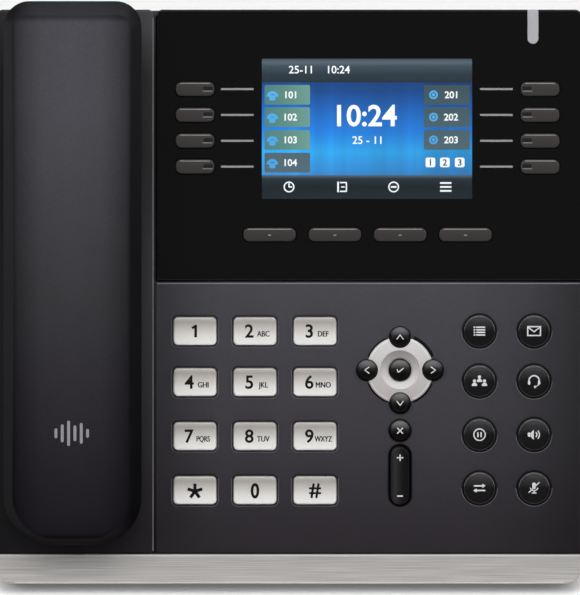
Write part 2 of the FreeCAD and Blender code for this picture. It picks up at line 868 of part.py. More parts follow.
JACKS = {
    # name: middle across the face, width, depth below the board, length, socket width, socket depth
    "handset_jack": (-64.0, 11.2, 11.0, 14.0, 7.8, 6.8),
    "headset_jack": (-47.0, 11.2, 11.0, 14.0, 7.8, 6.8),
    "computer_jack": (-16.0, 16.0, 13.2, 18.0, 11.8, 8.6),
    "network_jack": (4.0, 16.0, 13.2, 18.0, 11.8, 8.6),
}
POWER_JACK_U = 27.0


def rear_housing():
    body = new_body("rear_housing")
    plate = S.front_depth + S.tray_depth
    middle = S.body_height / 2
    add(body, -plate, -S.front_depth, rounded, 0, middle, S.body_width, S.body_height,
        S.bottom_corner, S.top_corner)
    cut_across(body, 0, S.body_width + 10, heel)
    chamfer(body, 2.0, -plate, lambda box: box.YMax > 12 and not box.XLength > 150 or box.YMin > 100)
    add(body, -S.hump_depth, -plate + 1, rounded, 0, (S.hump_low + S.hump_high) / 2, 2 * S.hump_half,
        S.hump_high - S.hump_low, 4.0, 10.0)
    fillet(body, 3.0, -S.hump_depth)
    cut(body, S.wall - plate, -S.front_depth + 1, cavity)
    low, high = S.hump_low + S.wall, S.hump_high - S.wall
    cut(body, S.wall - S.hump_depth, -S.front_depth + 1, rounded, 0, (low + high) / 2,
        2 * (S.hump_half - S.wall), high - low, 2.0, 8.0)
    # Posts under the two boards, and bosses for the screws.
    rear = S.board_level + S.board_thick
    posts = [(-40.0, 62.0, 2.5), (-40.0, 30.0, 2.5), (60.0, 24.0, 2.5), (92.0, 62.0, 2.5)]
    add(body, S.wall - plate - 1, -rear, many, circle, posts)
    main_rear = S.main_board_level + S.board_thick
    posts = [(a * 70.0, v, 2.5) for a in (-1, 1) for v in (122.0, 180.0)]
    add(body, S.wall - S.hump_depth - 1, -main_rear, many, circle, posts)
    add(body, S.wall - plate - 1, -S.front_depth, many, circle, [(u, v, S.boss_radius) for u, v in BOSSES])
    cut(body, -plate - 1, 0, many, circle, [(u, v, S.screw_radius + 0.2) for u, v in BOSSES])
    cut(body, -plate - 1, 1.3 - plate, many, circle, [(u, v, S.screw_head + 0.3) for u, v in BOSSES])
    # Openings of the jack step, vents and wall-mount keyholes.
    top = S.main_board_level + S.board_thick
    openings = [(u, -top - depth / 2, width + 0.4, depth + 0.4, 0.4)
                for u, width, depth, *_ in JACKS.values()]
    openings.append((POWER_JACK_U, -top - 5.5, 9.4, 11.4, 0.4))
    cut_upward(body, S.hump_low - 1, low + 0.5, many, rounded, openings)
    vents = [(9.0 * step, 172.0, 2.4, 24.0, 1.1) for step in range(-4, 5)]
    cut(body, -S.hump_depth - 1, S.wall - S.hump_depth + 0.5, many, rounded, vents)
    for u in (-45.0, 45.0):
        cut(body, -plate - 1, S.wall - plate + 0.2, circle, u, 44.0, 4.2)
        cut(body, -plate - 1, S.wall - plate + 0.2, rounded, u, 50.0, 4.4, 12.0, 2.0)
    # Hinge lugs of the stand.
    reach = S.hinge_pin + 3
    for side in (-1, 1):
        add_across(body, side * S.lug_u, S.lug_width, outline, [
            (S.hinge_v - reach, 1 - S.hump_depth), (S.hinge_v - reach, S.hinge_w - 1.5),
            (S.hinge_v + reach, S.hinge_w - 1.5), (S.hinge_v + reach, 1 - S.hump_depth),
        ], {1: reach * 1.1})
        cut_across(body, side * S.lug_u, S.lug_width + 2, circle, S.hinge_v, S.hinge_w,
                   S.hinge_pin + S.hinge_play)
    on_face(body)
    return node(body, "rear_housing")


def rear_jacks():
    top = S.main_board_level + S.board_thick
    members = []
    for label, (u, width, depth, length, socket_width, socket_depth) in JACKS.items():
        body = new_body(label)
        middle = S.hump_low + length / 2
        add(body, -top - depth, -top, rounded, u, middle, width, length, 0.3)
        level = -top - depth / 2 + 0.4
        cut_upward(body, S.hump_low - 1, S.hump_low + length - 3, rounded, u, level,
                   socket_width, socket_depth, 0.3)
        latch = level - socket_depth / 2 - 0.6
        cut_upward(body, S.hump_low - 1, S.hump_low + 4, rounded, u, latch, socket_width * 0.5, 1.8, 0.2)
        members.append(body)
    jacks = group("rear_jacks", members)
    on_face(jacks)
    return jacks


def power_jack():
    body = new_body("power_jack")
    top = S.main_board_level + S.board_thick
    add(body, -top - 11.0, -top, rounded, POWER_JACK_U, S.hump_low + 7, 9.0, 14.0, 0.3)
    cut_upward(body, S.hump_low - 1, S.hump_low + 10, circle, POWER_JACK_U, -top - 5.5, 3.2)
    add_downward(body, S.hump_low + 11, 10.0, circle, POWER_JACK_U, -top - 5.5, 1.0)
    on_face(body)
    return node(body, "power_jack")


def housing_screws():
    plate = S.front_depth + S.tray_depth
    members = []
    for number, (u, v) in enumerate(BOSSES, start=1):
        body = new_body(f"screw_{number}")
        add(body, 0.1 - plate, 1.3 - plate, circle, u, v, S.screw_head)
        add(body, 1.3 - plate, -5.6, circle, u, v, S.screw_radius)
        cut(body, -plate - 1, 0.8 - plate, rounded, u, v, 3.2, 0.7, 0.1)
        cut(body, -plate - 1, 0.8 - plate, rounded, u, v, 0.7, 3.2, 0.1)
        members.append(body)
    screws = group("housing_screws", members)
    on_face(screws)
    return screws


def base_feet():
    rise = S.foot_lift - S.heel_depth * COS
    members = []
    for number, side in enumerate((-1, 1), start=1):
        body = new_body(f"base_foot_{number}")
        add(body, 0, rise, rounded, side * 74.0, 0, 34.0, 8.0, 2.0)
        chamfer(body, 0.4, 0)
        members.append(body)
    feet = group("base_feet", members)
    middle = 5.0
    put(feet, 0, desk_y(as_size(middle), -S.heel_depth - middle), 0, tilted=False)
    return feet


# Folding stand, drawn upright with its origin on the hinge axis.

def stand_drop():
    return desk_z(S.hinge_v, S.hinge_w) - S.foot_pad


def stand():
    body = new_body("stand")
    drop = stand_drop()
    half = S.stand_thick / 2
    lean = S.stand_reach / drop
    tail = 2.0

    def plate(drawing, front, rear):
        outline(drawing, [
            (-front - tail * lean, tail), (S.stand_reach - front, -drop),
            (S.stand_reach + rear, -drop), (rear - tail * lean, tail),
        ])

    add_across(body, 0, 2 * S.stand_half, plate, half, half)
    for side in (-1, 1):
        add_across(body, side * (S.stand_half - 1.5), 3.0, plate, half, half + 4)
    add_across(body, 0, 2 * S.stand_half, circle, 0, 0, 3.2)
    add_across(body, 0, 2 * S.stand_half, outline, [
        (S.stand_reach - 5, -drop), (S.stand_reach + 7, -drop),
        (S.stand_reach + 6, 3 - drop), (S.stand_reach - 4, 3 - drop),
    ])
    add_across(body, 0, 2 * (S.lug_u + S.lug_width / 2 + 0.5), circle, 0, 0, S.hinge_pin)
    cut_upward(body, -20.0, S.stand_reach + 40, rounded, 0, 14.0 - drop, 48.0, 56.0, 2.0, 10.0)
    put(body, 0, desk_y(S.hinge_v, S.hinge_w), desk_z(S.hinge_v, S.hinge_w), tilted=False)
    return node(body, "stand")


def stand_feet():
    members = []
    for number, side in enumerate((-1, 1), start=1):
        body = new_body(f"stand_foot_{number}")
        add(body, 0, S.foot_pad, rounded, side * 39.0, 0, 24.0, 8.0, 2.0)
        chamfer(body, 0.4, 0)
        members.append(body)
    feet = group("stand_feet", members)
    put(feet, 0, desk_y(S.hinge_v, S.hinge_w) + S.stand_reach + 1, 0, tilted=False)
    return feet


# Handset.

def handset_back():
    body = new_body("handset_back")
    low, high = S.handset_low, S.handset_high
    rim = sketch_on(body, "XY_Plane", S.handset_parting, rounded, 0, (low + high) / 2,
                    S.handset_width, high - low, 17.0, 9.0)
    low, high = S.handset_face_low, S.handset_face_high
    face = sketch_on(body, "XY_Plane", S.handset_crown, rounded, 0, (low + high) / 2,
                     S.handset_face_width, high - low, 14.0, 3.8)
    loft(body, rim, face)
    # Long crown of the outer face.
    half = (S.handset_face_high - S.handset_face_low) / 2
    drop = S.handset_crown_drop
    radius = (half * half + drop * drop) / (2 * drop)
    end = S.handset_crown - drop
    top = S.handset_crown + 5
    cut_across(body, 0, S.handset_width + 10, outline,
               [(low, end), (high, end), (high + 20, end), (high + 20, top), (low - 20, top), (low - 20, end)],
               {0: -radius})
    rim_level = S.handset_parting.number + 6
    rim_edges = edges_where(body, lambda box: box.ZMin > rim_level)
    soften(body, "PartDesign::Fillet", "Radius", 1.6, rim_edges)
    low, high = S.handset_low + 7, S.handset_high - 10
    cut(body, S.handset_parting - 1, S.handset_crown - 5, rounded, 0, (low + high) / 2, 36.0, high - low, 12.0, 4.0)
    on_face(body, S.handset_u)
    return node(body, "handset_back")


def handset_front():
    body = new_body("handset_front")
    seam = S.handset_seam
    low, high = S.handset_low + seam, S.handset_high - seam
    rim = sketch_on(body, "XY_Plane", S.handset_parting, rounded, 0, (low + high) / 2,
                    S.handset_width - 2 * seam, high - low, 17.0, 9.0)
    low, high = S.handset_tip_low, S.handset_tip_high
    tip = sketch_on(body, "XY_Plane", S.handset_tip, rounded, 0, (low + high) / 2,
                    S.handset_tip_width, high - low, 12.0, 7.0)
    loft(body, rim, tip)
    # Arch of the grip, which leaves room for the fingers over the cradle.
    half, rise = S.grip_half, S.grip_clear - S.handset_tip
    radius = (half * half + rise * rise) / (2 * rise)
    first, last = S.grip_middle - half, S.grip_middle + half
    cut_across(body, 0, S.handset_width + 10, outline,
               [(last, S.handset_tip), (first, S.handset_tip), (first, S.handset_tip - 2),
                (last, S.handset_tip - 2)], {0: radius})
    fillet(body, 1.5, S.handset_tip)
    floor = S.handset_tip + S.wall
    cut(body, floor, S.handset_parting + 1, rounded, 0, 172.0, 32.0, 34.0, 5.0)
    cut(body, floor, S.handset_parting + 1, rounded, 0, 45.0, 31.0, 26.0, 5.0)
    sound = [(0, 172.0, 1.1)]
    sound += [(6 * math.cos(k * math.pi / 3), 172.0 + 6 * math.sin(k * math.pi / 3), 1.1) for k in range(6)]
    sound.append((0, 40.0, 1.1))
    cut(body, S.handset_tip - 1, floor + 1, many, circle, sound)
    # Socket for the handset cord.
    cut_upward(body, S.handset_low - 2, S.handset_low + 11, rounded, 0, 4.6, 7.8, 6.8, 0.3)
    on_face(body, S.handset_u)
    return node(body, "handset_front")


def handset_capsules():
    floor = S.handset_tip + S.wall
    receiver = new_body("receiver")
    add(receiver, floor, floor + 4, circle, 0, 172.0, 13.5)
    add(receiver, floor + 4, floor + 8, circle, 0, 172.0, 9.0)
    microphone = new_body("microphone")
    add(microphone, floor, floor + 5, circle, 0, 40.0, 4.8)
    capsules = group("handset_capsules", [receiver, microphone])
    on_face(capsules, S.handset_u)
    return capsules


def check_and_write():
    doc.recompute()
    for item in doc.Objects:
        if "Invalid" in item.State or "Error" in item.State:
            raise RuntimeError(f"{item.Label} did not build: {item.State}")
        if hasattr(item, "Shape") and item.TypeId != "App::Plane" and item.TypeId.startswith("Part"):
            if item.Shape.isNull() or not item.Shape.isValid():
                raise RuntimeError(f"{item.Label} has no valid shape")
    os.makedirs("parts", exist_ok=True)
    for label, item in finished.items():
        item.Shape.exportStep(f"parts/{label}.step")


front_housing()
rear_housing()
display_bezel()
display_window()
display_module()
message_lamp()
front_trim()
navigation_ring()
build_keys()
keypad_mat()
circuit_boards()
loudspeaker()
hook_switch()
rear_jacks()
power_jack()
housing_screws()
base_feet()
stand()
stand_feet()
handset_back()
handset_front()
handset_capsules()
check_and_write()
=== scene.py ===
import json
import math

import bmesh
import bpy
from mathutils import Matrix, Vector


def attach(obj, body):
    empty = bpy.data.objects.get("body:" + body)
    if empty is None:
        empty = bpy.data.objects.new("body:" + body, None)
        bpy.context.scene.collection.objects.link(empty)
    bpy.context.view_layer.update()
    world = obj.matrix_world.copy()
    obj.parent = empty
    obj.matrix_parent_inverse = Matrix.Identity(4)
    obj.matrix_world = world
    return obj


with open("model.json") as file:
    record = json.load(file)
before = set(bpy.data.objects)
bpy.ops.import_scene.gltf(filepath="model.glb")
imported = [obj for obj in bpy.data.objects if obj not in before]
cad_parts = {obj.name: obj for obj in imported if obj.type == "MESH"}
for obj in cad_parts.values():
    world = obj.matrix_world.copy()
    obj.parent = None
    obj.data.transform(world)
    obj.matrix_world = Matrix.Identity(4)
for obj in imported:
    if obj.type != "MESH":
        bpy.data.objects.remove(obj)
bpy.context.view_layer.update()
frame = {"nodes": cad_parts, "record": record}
nodes = frame["nodes"]
subparts = frame["record"]["subparts"]
scene = bpy.context.scene

# The face of the phone leans back. In its own frame u runs right, v up the face and w out of it.
MM = 0.001
TILT = math.radians(45)
FRONT_OFFSET = 86.4 * MM
FOOT_LIFT = 5.75 * MM
FACE = Matrix.Translation((0, -FRONT_OFFSET, FOOT_LIFT)) @ Matrix.Rotation(TILT, 4, "X")
TO_FACE = FACE.inverted()
FACE_WIDTH = 205 * MM
FACE_HEIGHT = 201 * MM
TRIM_HEIGHT = 10 * MM

# Keys with a dished top, and keys with a dome: flat radius and rounded edge of the solid, in mm.
DISHED = ("list_key", "message_key", "conference_key", "headset_key",
          "hold_key", "speaker_key", "transfer_key", "mute_key")
DOMES = {"up_key": (2.0, 1.5), "left_key": (2.0, 1.5), "down_key": (2.0, 1.5), "right_key": (2.0, 1.5),
         "ok_key": (2.4, 1.2), "cancel_key": (2.3, 1.2)}


def face_box(node, above=-math.inf):
    """Lowest and highest corner, in mm on the face, of what a CAD node has above a level."""
    points = [TO_FACE @ vertex.co / MM for vertex in nodes[node].data.vertices]
    points = [point for point in points if point.z > above]
    low = Vector([min(point[axis] for point in points) for axis in range(3)])
    high = Vector([max(point[axis] for point in points) for axis in range(3)])
    return low, high


def face_size(node):
    """Extent of a CAD node along the axes of the face, in mm."""
    low, high = face_box(node)
    return high - low


def place(name, data):
    """A new object of the scene."""
    thing = bpy.data.objects.new(name, data)
    scene.collection.objects.link(thing)
    return thing


def srgb(red, green, blue):
    """Linear colour of an 8-bit display colour."""
    def linear(value):
        value /= 255
        return value / 12.92 if value <= 0.04045 else ((value + 0.055) / 1.055) ** 2.4

    return (linear(red), linear(green), linear(blue), 1.0)


# Materials. Depths of relief are in metres. The pairs for patches and specks hold a scale and an amount.

GRAIN = 2600.0
GRAIN_DEPTH = 0.00004
RELIEF = 0.6
PATCHES = (90.0, 0.06)
SPECKS = (1400.0, 0.16)
PLAIN_PATCHES = 120.0
KEY_PATCHES = (700.0, 0.03)
KEY_GRAIN = 5200.0
KEY_GRAIN_DEPTH = 0.00001
GLOSS_GRAIN = 900.0
GLOSS_DEPTH = 0.000002
INK_GRAIN = 6000.0
INK_ROUGHNESS = (0.5, 0.7)
BRUSH_SCALE = 6000.0
BRUSH_STRETCH = (0.006, 1, 1)
BRUSH_RANGE = (0.3, 0.7)
BRUSH_SHADES = (0.72, 1.26)
# Painted shade over the height of the trim: share of its colour at the bottom and at the top.
BRUSH_PAINTED_SHADE = (1.03, 0.9)
BRUSH_RELIEF = 0.5
BRUSH_DEPTH = 0.00003
DISPLAY_GLOW = 1.2
STREAK_SCALE = 7.0
STREAK_DETAIL = 4.0
SMUDGE_SCALE = 60.0
SMUDGE_ROUGHNESS = (0.0, 0.008)


class Nodes:
    """The nodes of one material or world."""

    def __init__(self, tree):
        self.tree = tree

    def find(self, kind):
        return next(node for node in self.tree.nodes if node.type == kind)

    def add(self, kind, inputs=None, **settings):
        node = self.tree.nodes.new(kind)
        for key, value in settings.items():
            setattr(node, key, value)
        for key, value in (inputs or {}).items():
            if isinstance(value, bpy.types.NodeSocket):
                self.tree.links.new(value, node.inputs[key])
            else:
                node.inputs[key].default_value = value
        return node

    def coordinates(self, kind="Object"):
        return self.add("ShaderNodeTexCoord").outputs[kind]

    def split(self, vector):
        return self.add("ShaderNodeSeparateXYZ", {"Vector": vector}).outputs

    def combine(self, operation, first, second):
        return self.add("ShaderNodeMath", {0: first, 1: second}, operation=operation).outputs[0]

    def span(self, value, low, high, start=0.0, end=1.0):
        """The value, stretched from the range start to end onto the range low to high."""
        return self.add("ShaderNodeMapRange", {
            "Value": value, "From Min": start, "From Max": end, "To Min": low, "To Max": high,
        }).outputs[0]

    def ramp(self, value, stops):
        node = self.add("ShaderNodeValToRGB", {"Fac": value})
        elements = node.color_ramp.elements
        while len(elements) < len(stops):
            elements.new(0.5)
        for element, (position, colour) in zip(elements, stops):
            element.position = position
            element.color = colour
        return node.outputs[0]


class Paint(Nodes):
    """A material with one Principled shader and the nodes that feed it."""

    def __init__(self, name, **sockets):
        self.material = bpy.data.materials.new(name)
        self.material.use_nodes = True
        super().__init__(self.material.node_tree)
        self.shader = self.find("BSDF_PRINCIPLED")
        for label, value in sockets.items():
            socket = label.replace("_", " ").title().replace("Ior", "IOR")
            self.shader.inputs[socket].default_value = value

    def feed(self, socket, output):
        self.tree.links.new(output, self.shader.inputs[socket])

    def face_coordinates(self, centre=(0, 0), size=(1, 1)):
        """Outputs x, y and z of the place on the face, from a centre and in parts of a size."""
        mapping = self.add(
            "ShaderNodeMapping",
            {"Vector": self.coordinates(), "Location": FACE @ Vector((*centre, 0)),
             "Rotation": (TILT, 0, 0), "Scale": (*size, 1)},
            vector_type="TEXTURE",
        )
        return self.split(mapping.outputs[0])

    def noise(self, scale, stretch=(1, 1, 1)):
        mapping = self.add("ShaderNodeMapping", {
            "Vector": self.coordinates(), "Rotation": (-TILT, 0, 0), "Scale": stretch,
        })
        return self.add("ShaderNodeTexNoise", {"Vector": mapping.outputs[0], "Scale": scale}).outputs[0]

    def product(self, colour, shade):
        return self.add("ShaderNodeVectorMath", {0: colour, 1: shade}, operation="MULTIPLY").outputs[0]

    def mottle(self, colour, scale, amount):
        """The colour, lighter and darker by a share of itself in soft patches."""
        return self.product(colour, self.span(self.noise(scale), 1 - amount, 1 + amount))

    def emboss(self, height, strength, depth, roughness):
        """Relief from a height between 0 and 1, with roughness that changes along with it."""
        bump = self.add("ShaderNodeBump", {"Height": height, "Strength": strength, "Distance": depth})
        self.feed("Normal", bump.outputs[0])
        self.feed("Roughness", self.span(height, *roughness))


def moulded(name, stops, across, shade_depths=None, roughness=(0.38, 0.55), **sockets):
    """Grained plastic whose colour changes up the face as painted light and shade; stops hold heights in mm
    and colours.

    The shares in across are painted shade that dims it over the width of the face, and those in the depths
    are painted shade that dims it near the face.
    """
    paint = Paint(name, **sockets)
    spot = paint.face_coordinates(size=(FACE_WIDTH, FACE_HEIGHT))
    colour = paint.ramp(spot["Y"], [(v * MM / FACE_HEIGHT, srgb(*rgb)) for v, rgb in stops])
    shares = [(u * MM / FACE_WIDTH + 0.5, (share, share, share, 1)) for u, share in across]
    colour = paint.product(colour, paint.ramp(paint.combine("ADD", spot["X"], 0.5), shares))
    if shade_depths:
        (low, dim), (high, full) = shade_depths
        colour = paint.product(colour, paint.span(spot["Z"], dim, full, low * MM, high * MM))
    paint.feed("Base Color", paint.mottle(paint.mottle(colour, *PATCHES), *SPECKS))
    paint.emboss(paint.noise(GRAIN), RELIEF, GRAIN_DEPTH, roughness)
    return paint.material


def plain(name, rgb, roughness, scale=GRAIN, depth=GRAIN_DEPTH, amount=0.08, **sockets):
    """One colour with soft patches, fine relief and uneven roughness."""
    paint = Paint(name, **sockets)
    paint.feed("Base Color", paint.mottle(srgb(*rgb)[:3], PLAIN_PATCHES, amount))
    paint.emboss(paint.noise(scale), RELIEF, depth, roughness)
    return paint.material


def ink(name, rgb, **settings):
    return plain(name, rgb, INK_ROUGHNESS, scale=INK_GRAIN, **settings)


def graded_key(name, stops, roughness, size=None, **sockets):
    """Key colour with painted light and shade that changes up the face, over keys of the size given, or else
    from left to right.
    """
    paint = Paint(name, **sockets)
    parts = paint.split(paint.coordinates("Generated"))
    if size is None:
        share = parts["X"]
    else:
        first = size.z / (size.y + size.z)
        share = paint.span(paint.combine("ADD", parts["Y"], parts["Z"]), 0.0, 1.0, first, 2 - first)
    colour = paint.ramp(share, [(at, srgb(*rgb)) for at, rgb in stops])
    paint.feed("Base Color", paint.mottle(colour, *KEY_PATCHES))
    paint.emboss(paint.noise(KEY_GRAIN), RELIEF, KEY_GRAIN_DEPTH, roughness)
    return paint.material


def brushed(name, rgb, roughness, **sockets):
    """Metal brushed from side to side: fine streaks in colour, relief and roughness, and painted shade that
    darkens it towards the top of the trim.
    """
    paint = Paint(name, **sockets)
    streaks = paint.noise(BRUSH_SCALE, BRUSH_STRETCH)
    shade = paint.span(streaks, *BRUSH_SHADES, *BRUSH_RANGE)
    trim_painted_shade = paint.span(paint.face_coordinates(size=(1, TRIM_HEIGHT))["Y"], *BRUSH_PAINTED_SHADE)
    paint.feed("Base Color", paint.product(paint.product(srgb(*rgb)[:3], shade), trim_painted_shade))
    paint.emboss(streaks, BRUSH_RELIEF, BRUSH_DEPTH, roughness)
    return paint.material


def lit(name, stops, centre, size, axis="Y", streaks=0.0, fall=0.0):
    """A lit part of the display, graded across an area of the face.

    It may carry upright streaks, and a painted reflection of glare that makes it lighter on the left and
    darker on the right, each by a share of itself.
    """
    paint = Paint(name, base_color=(0, 0, 0, 1), roughness=0.4, specular_ior_level=0.1,
                  emission_strength=DISPLAY_GLOW)
    across = paint.face_coordinates(centre, size)
    share = paint.combine("ADD", across[axis], 0.5)
    colour = paint.ramp(share, [(at, srgb(*rgb)) for at, rgb in stops])
    if streaks:
        line = paint.add("ShaderNodeCombineXYZ", {"X": across["X"]})
        bands = paint.add("ShaderNodeTexNoise", {
            "Vector": line.outputs[0], "Scale": STREAK_SCALE, "Detail": STREAK_DETAIL,
        })
        colour = paint.product(colour, paint.span(bands.outputs[0], 1 - streaks, 1 + streaks))
    if fall:
        colour = paint.product(colour, paint.span(across["X"], 1 + fall, 1 - fall, -0.5, 0.5))
    paint.feed("Emission Color", colour)
    return paint.material


def clear_window():
    paint = Paint("window_clear", base_color=(0.97, 0.98, 0.98, 1), ior=1.45, transmission_weight=1.0,
                  specular_ior_level=0.1)
    paint.feed("Roughness", paint.span(paint.noise(SMUDGE_SCALE), *SMUDGE_ROUGHNESS))
    return paint.material


SILVER_ROUGHNESS = (0.28, 0.42)
DOME_ROUGHNESS = (0.34, 0.44)
DOME_SPECULAR = 0.1
DOME_SIZE = Vector((5.0, 5.0, 0.5))

PAINTS = {
    # Painted light and shade on the front housing: lighter and darker up the face, lighter near the top, and
    # painted shade towards the left and right edges.
    "housing_plastic": moulded("housing_front_plastic", (
        (0, (33, 29, 34)), (20, (38, 34, 39)), (55, (54, 52, 57)), (104, (64, 63, 68)),
        (150, (46, 46, 48)), (178, (52, 52, 54)), (194, (82, 82, 84)), (201, (74, 74, 76)),
    ), (
        (-102, 0.17), (-90, 0.5), (-44, 0.66), (-24, 0.95), (0, 1.0), (62, 1.0), (84, 0.75), (102, 0.32),
    ), specular_ior_level=0.15),
    # Painted light and shade on the handset: dark at its lower end, lighter up its face, darker along its
    # top bevel, and painted shade on its side walls, darkest low on them.
    "handset_plastic": moulded("handset_plastic", (
        (14, (8, 8, 9)), (17, (11, 10, 12)), (18.5, (25, 22, 27)), (26, (30, 27, 32)),
        (40, (35, 32, 37)), (70, (44, 42, 47)), (99, (53, 53, 56)), (169, (71, 70, 75)),
        (196, (71, 70, 75)), (197.3, (49, 48, 53)), (201, (45, 44, 49)),
    ), (
        (-99.5, 0.3), (-96, 0.22), (-95, 0.4), (-92.5, 0.58), (-86, 0.92), (-75.5, 1.0),
        (-65, 0.92), (-58.5, 0.58), (-56, 0.4), (-55, 0.22), (-51.5, 0.3),
    ), shade_depths=((10.0, 0.8), (20.0, 1.0)), roughness=(0.55, 0.7), specular_ior_level=0.02),
    "panel_gloss": plain("panel_gloss", (10, 10, 10), (0.06, 0.12), scale=GLOSS_GRAIN, depth=GLOSS_DEPTH,
                         specular_ior_level=0.2, coat_weight=0.05, coat_roughness=0.03),
    "window_clear": clear_window(),
    "display_panel": plain("display_frame", (9, 11, 14), (0.3, 0.5)),
    "lamp_lens": plain("lamp_lens", (164, 163, 168), (0.2, 0.4), scale=1500.0, amount=0.12,
                       coat_weight=0.4, coat_roughness=0.1),
    # Brushed trim, with painted shade darker towards its top.
    "trim_metal": brushed("trim_brushed", (180, 177, 174), (0.3, 0.5), metallic=0.25),
    # Painted light: the navigation ring is lighter towards the top.
    "ring_silver": graded_key("ring_silver", (
        (0.0, (172, 167, 166)), (0.4, (182, 178, 177)), (0.75, (198, 195, 194)), (1.0, (208, 206, 205)),
    ), SILVER_ROUGHNESS, face_size("navigation_ring"), metallic=0.1),
    "mat_silicone": plain("mat_silicone", (150, 150, 152), (0.6, 0.8)),
    "board_laminate": plain("board_laminate", (24, 92, 52), (0.3, 0.5), scale=700.0, amount=0.25),
    "speaker_metal": plain("speaker_metal", (88, 88, 92), (0.3, 0.5), metallic=0.6),
    "jack_plastic": plain("jack_plastic", (30, 30, 32), (0.4, 0.6)),
    "screw_steel": plain("screw_steel", (178, 178, 182), (0.25, 0.45), scale=3000.0, metallic=1.0),
    "foot_rubber": plain("foot_rubber", (26, 26, 27), (0.75, 0.95), scale=1800.0, depth=0.0001),
    "hook_plastic": plain("hook_plastic", (42, 42, 44), (0.3, 0.45)),
    # Painted shade and highlight: the dial keys are light at the bottom, darker towards the top, and lighter
    # again at the top edge.
    "key_silver": graded_key("key_silver", (
        (0.0, (228, 227, 224)), (0.3, (216, 214, 210)), (0.62, (186, 182, 177)), (0.86, (158, 153, 148)),
        (1.0, (176, 172, 168)),
    ), (0.3, 0.42), face_size("dial_key_5"), metallic=0.1),
    # Painted light: the grey keys are lighter towards the top.
    "key_grey": graded_key("key_grey", (
        (0.0, (40, 37, 37)), (0.6, (49, 45, 44)), (1.0, (61, 56, 55)),
    ), (0.35, 0.5), face_size("line_key_left_1"), specular_ior_level=0.25),
    # Painted highlight: the black keys are lighter near the top.
    "key_black": graded_key("key_black", (
        (0.0, (3, 3, 4)), (0.5, (6, 6, 7)), (0.82, (44, 44, 45)), (1.0, (68, 68, 69)),
    ), (0.12, 0.22), face_size("list_key"), specular_ior_level=0.4, coat_weight=0.2, coat_roughness=0.08),
}

# Finishes of single nodes and of the pieces added to the CAD nodes. The dome, rocker and dish finishes carry
# painted light and shade; the edge, lip and rim finishes are painted highlights, the dark gap finish is a
# painted shadow, and the grey ink is print and also painted highlights on the line and soft keys.
housing_rear = plain("housing_rear_plastic", (44, 43, 46), (0.45, 0.65), depth=0.00008)
# Painted highlight: the domed black keys are lighter towards the top.
key_dome = graded_key("key_dome", (
    (0.0, (1, 1, 2)), (0.35, (4, 4, 5)), (0.6, (30, 30, 31)), (0.85, (98, 98, 99)), (1.0, (112, 112, 113)),
), DOME_ROUGHNESS, face_size("up_key"), specular_ior_level=DOME_SPECULAR)
# Painted highlight: the domes on those keys are lighter towards the top.
dome_black = graded_key("dome_black", (
    (0.0, (2, 2, 3)), (0.3, (4, 4, 5)), (0.6, (26, 26, 27)), (1.0, (96, 96, 97)),
), DOME_ROUGHNESS, DOME_SIZE, specular_ior_level=DOME_SPECULAR)
# Painted highlight down the left side of the volume rocker, darker to the right.
key_rocker = graded_key("key_rocker", (
    (0.1, (8, 8, 9)), (0.3, (42, 42, 43)), (0.55, (18, 18, 19)), (0.85, (2, 2, 3)),
), DOME_ROUGHNESS, specular_ior_level=DOME_SPECULAR)
# Painted shade: the navigation dish is light at the bottom and darker towards the top.
dish_silver = graded_key("dish_silver", (
    (0.0, (208, 205, 204)), (0.3, (196, 192, 191)), (0.7, (158, 153, 152)), (1.0, (136, 131, 130)),
), SILVER_ROUGHNESS, face_size("navigation_ring"), metallic=0.1)
ink_black = ink("ink_black", (9, 9, 10), specular_ior_level=0.15)
ink_white = ink("ink_white", (200, 200, 202), amount=0.04)
# Grey ink for print, also used for painted highlights on the line and soft keys.
ink_grey_and_highlight = ink("ink_grey_and_highlight", (134, 134, 135), amount=0.04)
smoked_lens = plain("smoked_lens", (26, 25, 26), (0.08, 0.16), scale=GLOSS_GRAIN, depth=GLOSS_DEPTH)
# Painted highlight for the lines beside the divider groove and under the upper panel.
edge_sheen = plain("edge_sheen", (118, 118, 121), (0.3, 0.45))
# Painted highlight for the bright lines around the key openings.
lip_sheen = plain("lip_sheen", (104, 102, 106), (0.35, 0.5), specular_ior_level=0.2)
# Painted highlight for the trim edges and the rim of the navigation disc.
painted_edge_highlight = plain("painted_edge_highlight", (224, 223, 221), (0.3, 0.45), metallic=0.2)
# Painted shadow for the gap beside the navigation disc.
painted_gap_shadow = plain("painted_gap_shadow", (5, 5, 6), (0.4, 0.6), specular_ior_level=0.1)
contact_gold = plain("contact_gold", (214, 172, 92), (0.2, 0.35), metallic=1.0)

OWN_PAINTS = {"rear_housing": housing_rear, "stand": housing_rear, "volume_rocker": key_rocker}
OWN_PAINTS.update({name: key_dome for name in DOMES})

for row in subparts:
    shown = nodes[row["node"]]
    shown.data.materials.clear()
    shown.data.materials.append(OWN_PAINTS.get(row["node"], PAINTS[row["material_slot"]]))


# Flat shapes, as lists of points in mm about their own middle.

ARC_STEPS = 20
DISC_SIDES = 24
CORNER_STEPS = 5
QUARTERS = ((1, 1), (-1, 1), (-1, -1), (1, -1))


def box(x, y, width, height):
    return [(x - width / 2, y - height / 2), (x + width / 2, y - height / 2),
            (x + width / 2, y + height / 2), (x - width / 2, y + height / 2)]


def bar(x0, y0, x1, y1, thick):
    along = Vector((x1 - x0, y1 - y0)).normalized()
    side = Vector((-along.y, along.x)) * (thick / 2)
    return [(x0 - side.x, y0 - side.y), (x1 - side.x, y1 - side.y),
            (x1 + side.x, y1 + side.y), (x0 + side.x, y0 + side.y)]


def rim_point(x, y, radius, angle):
    turn = math.radians(angle)
    return x + radius * math.cos(turn), y + radius * math.sin(turn)


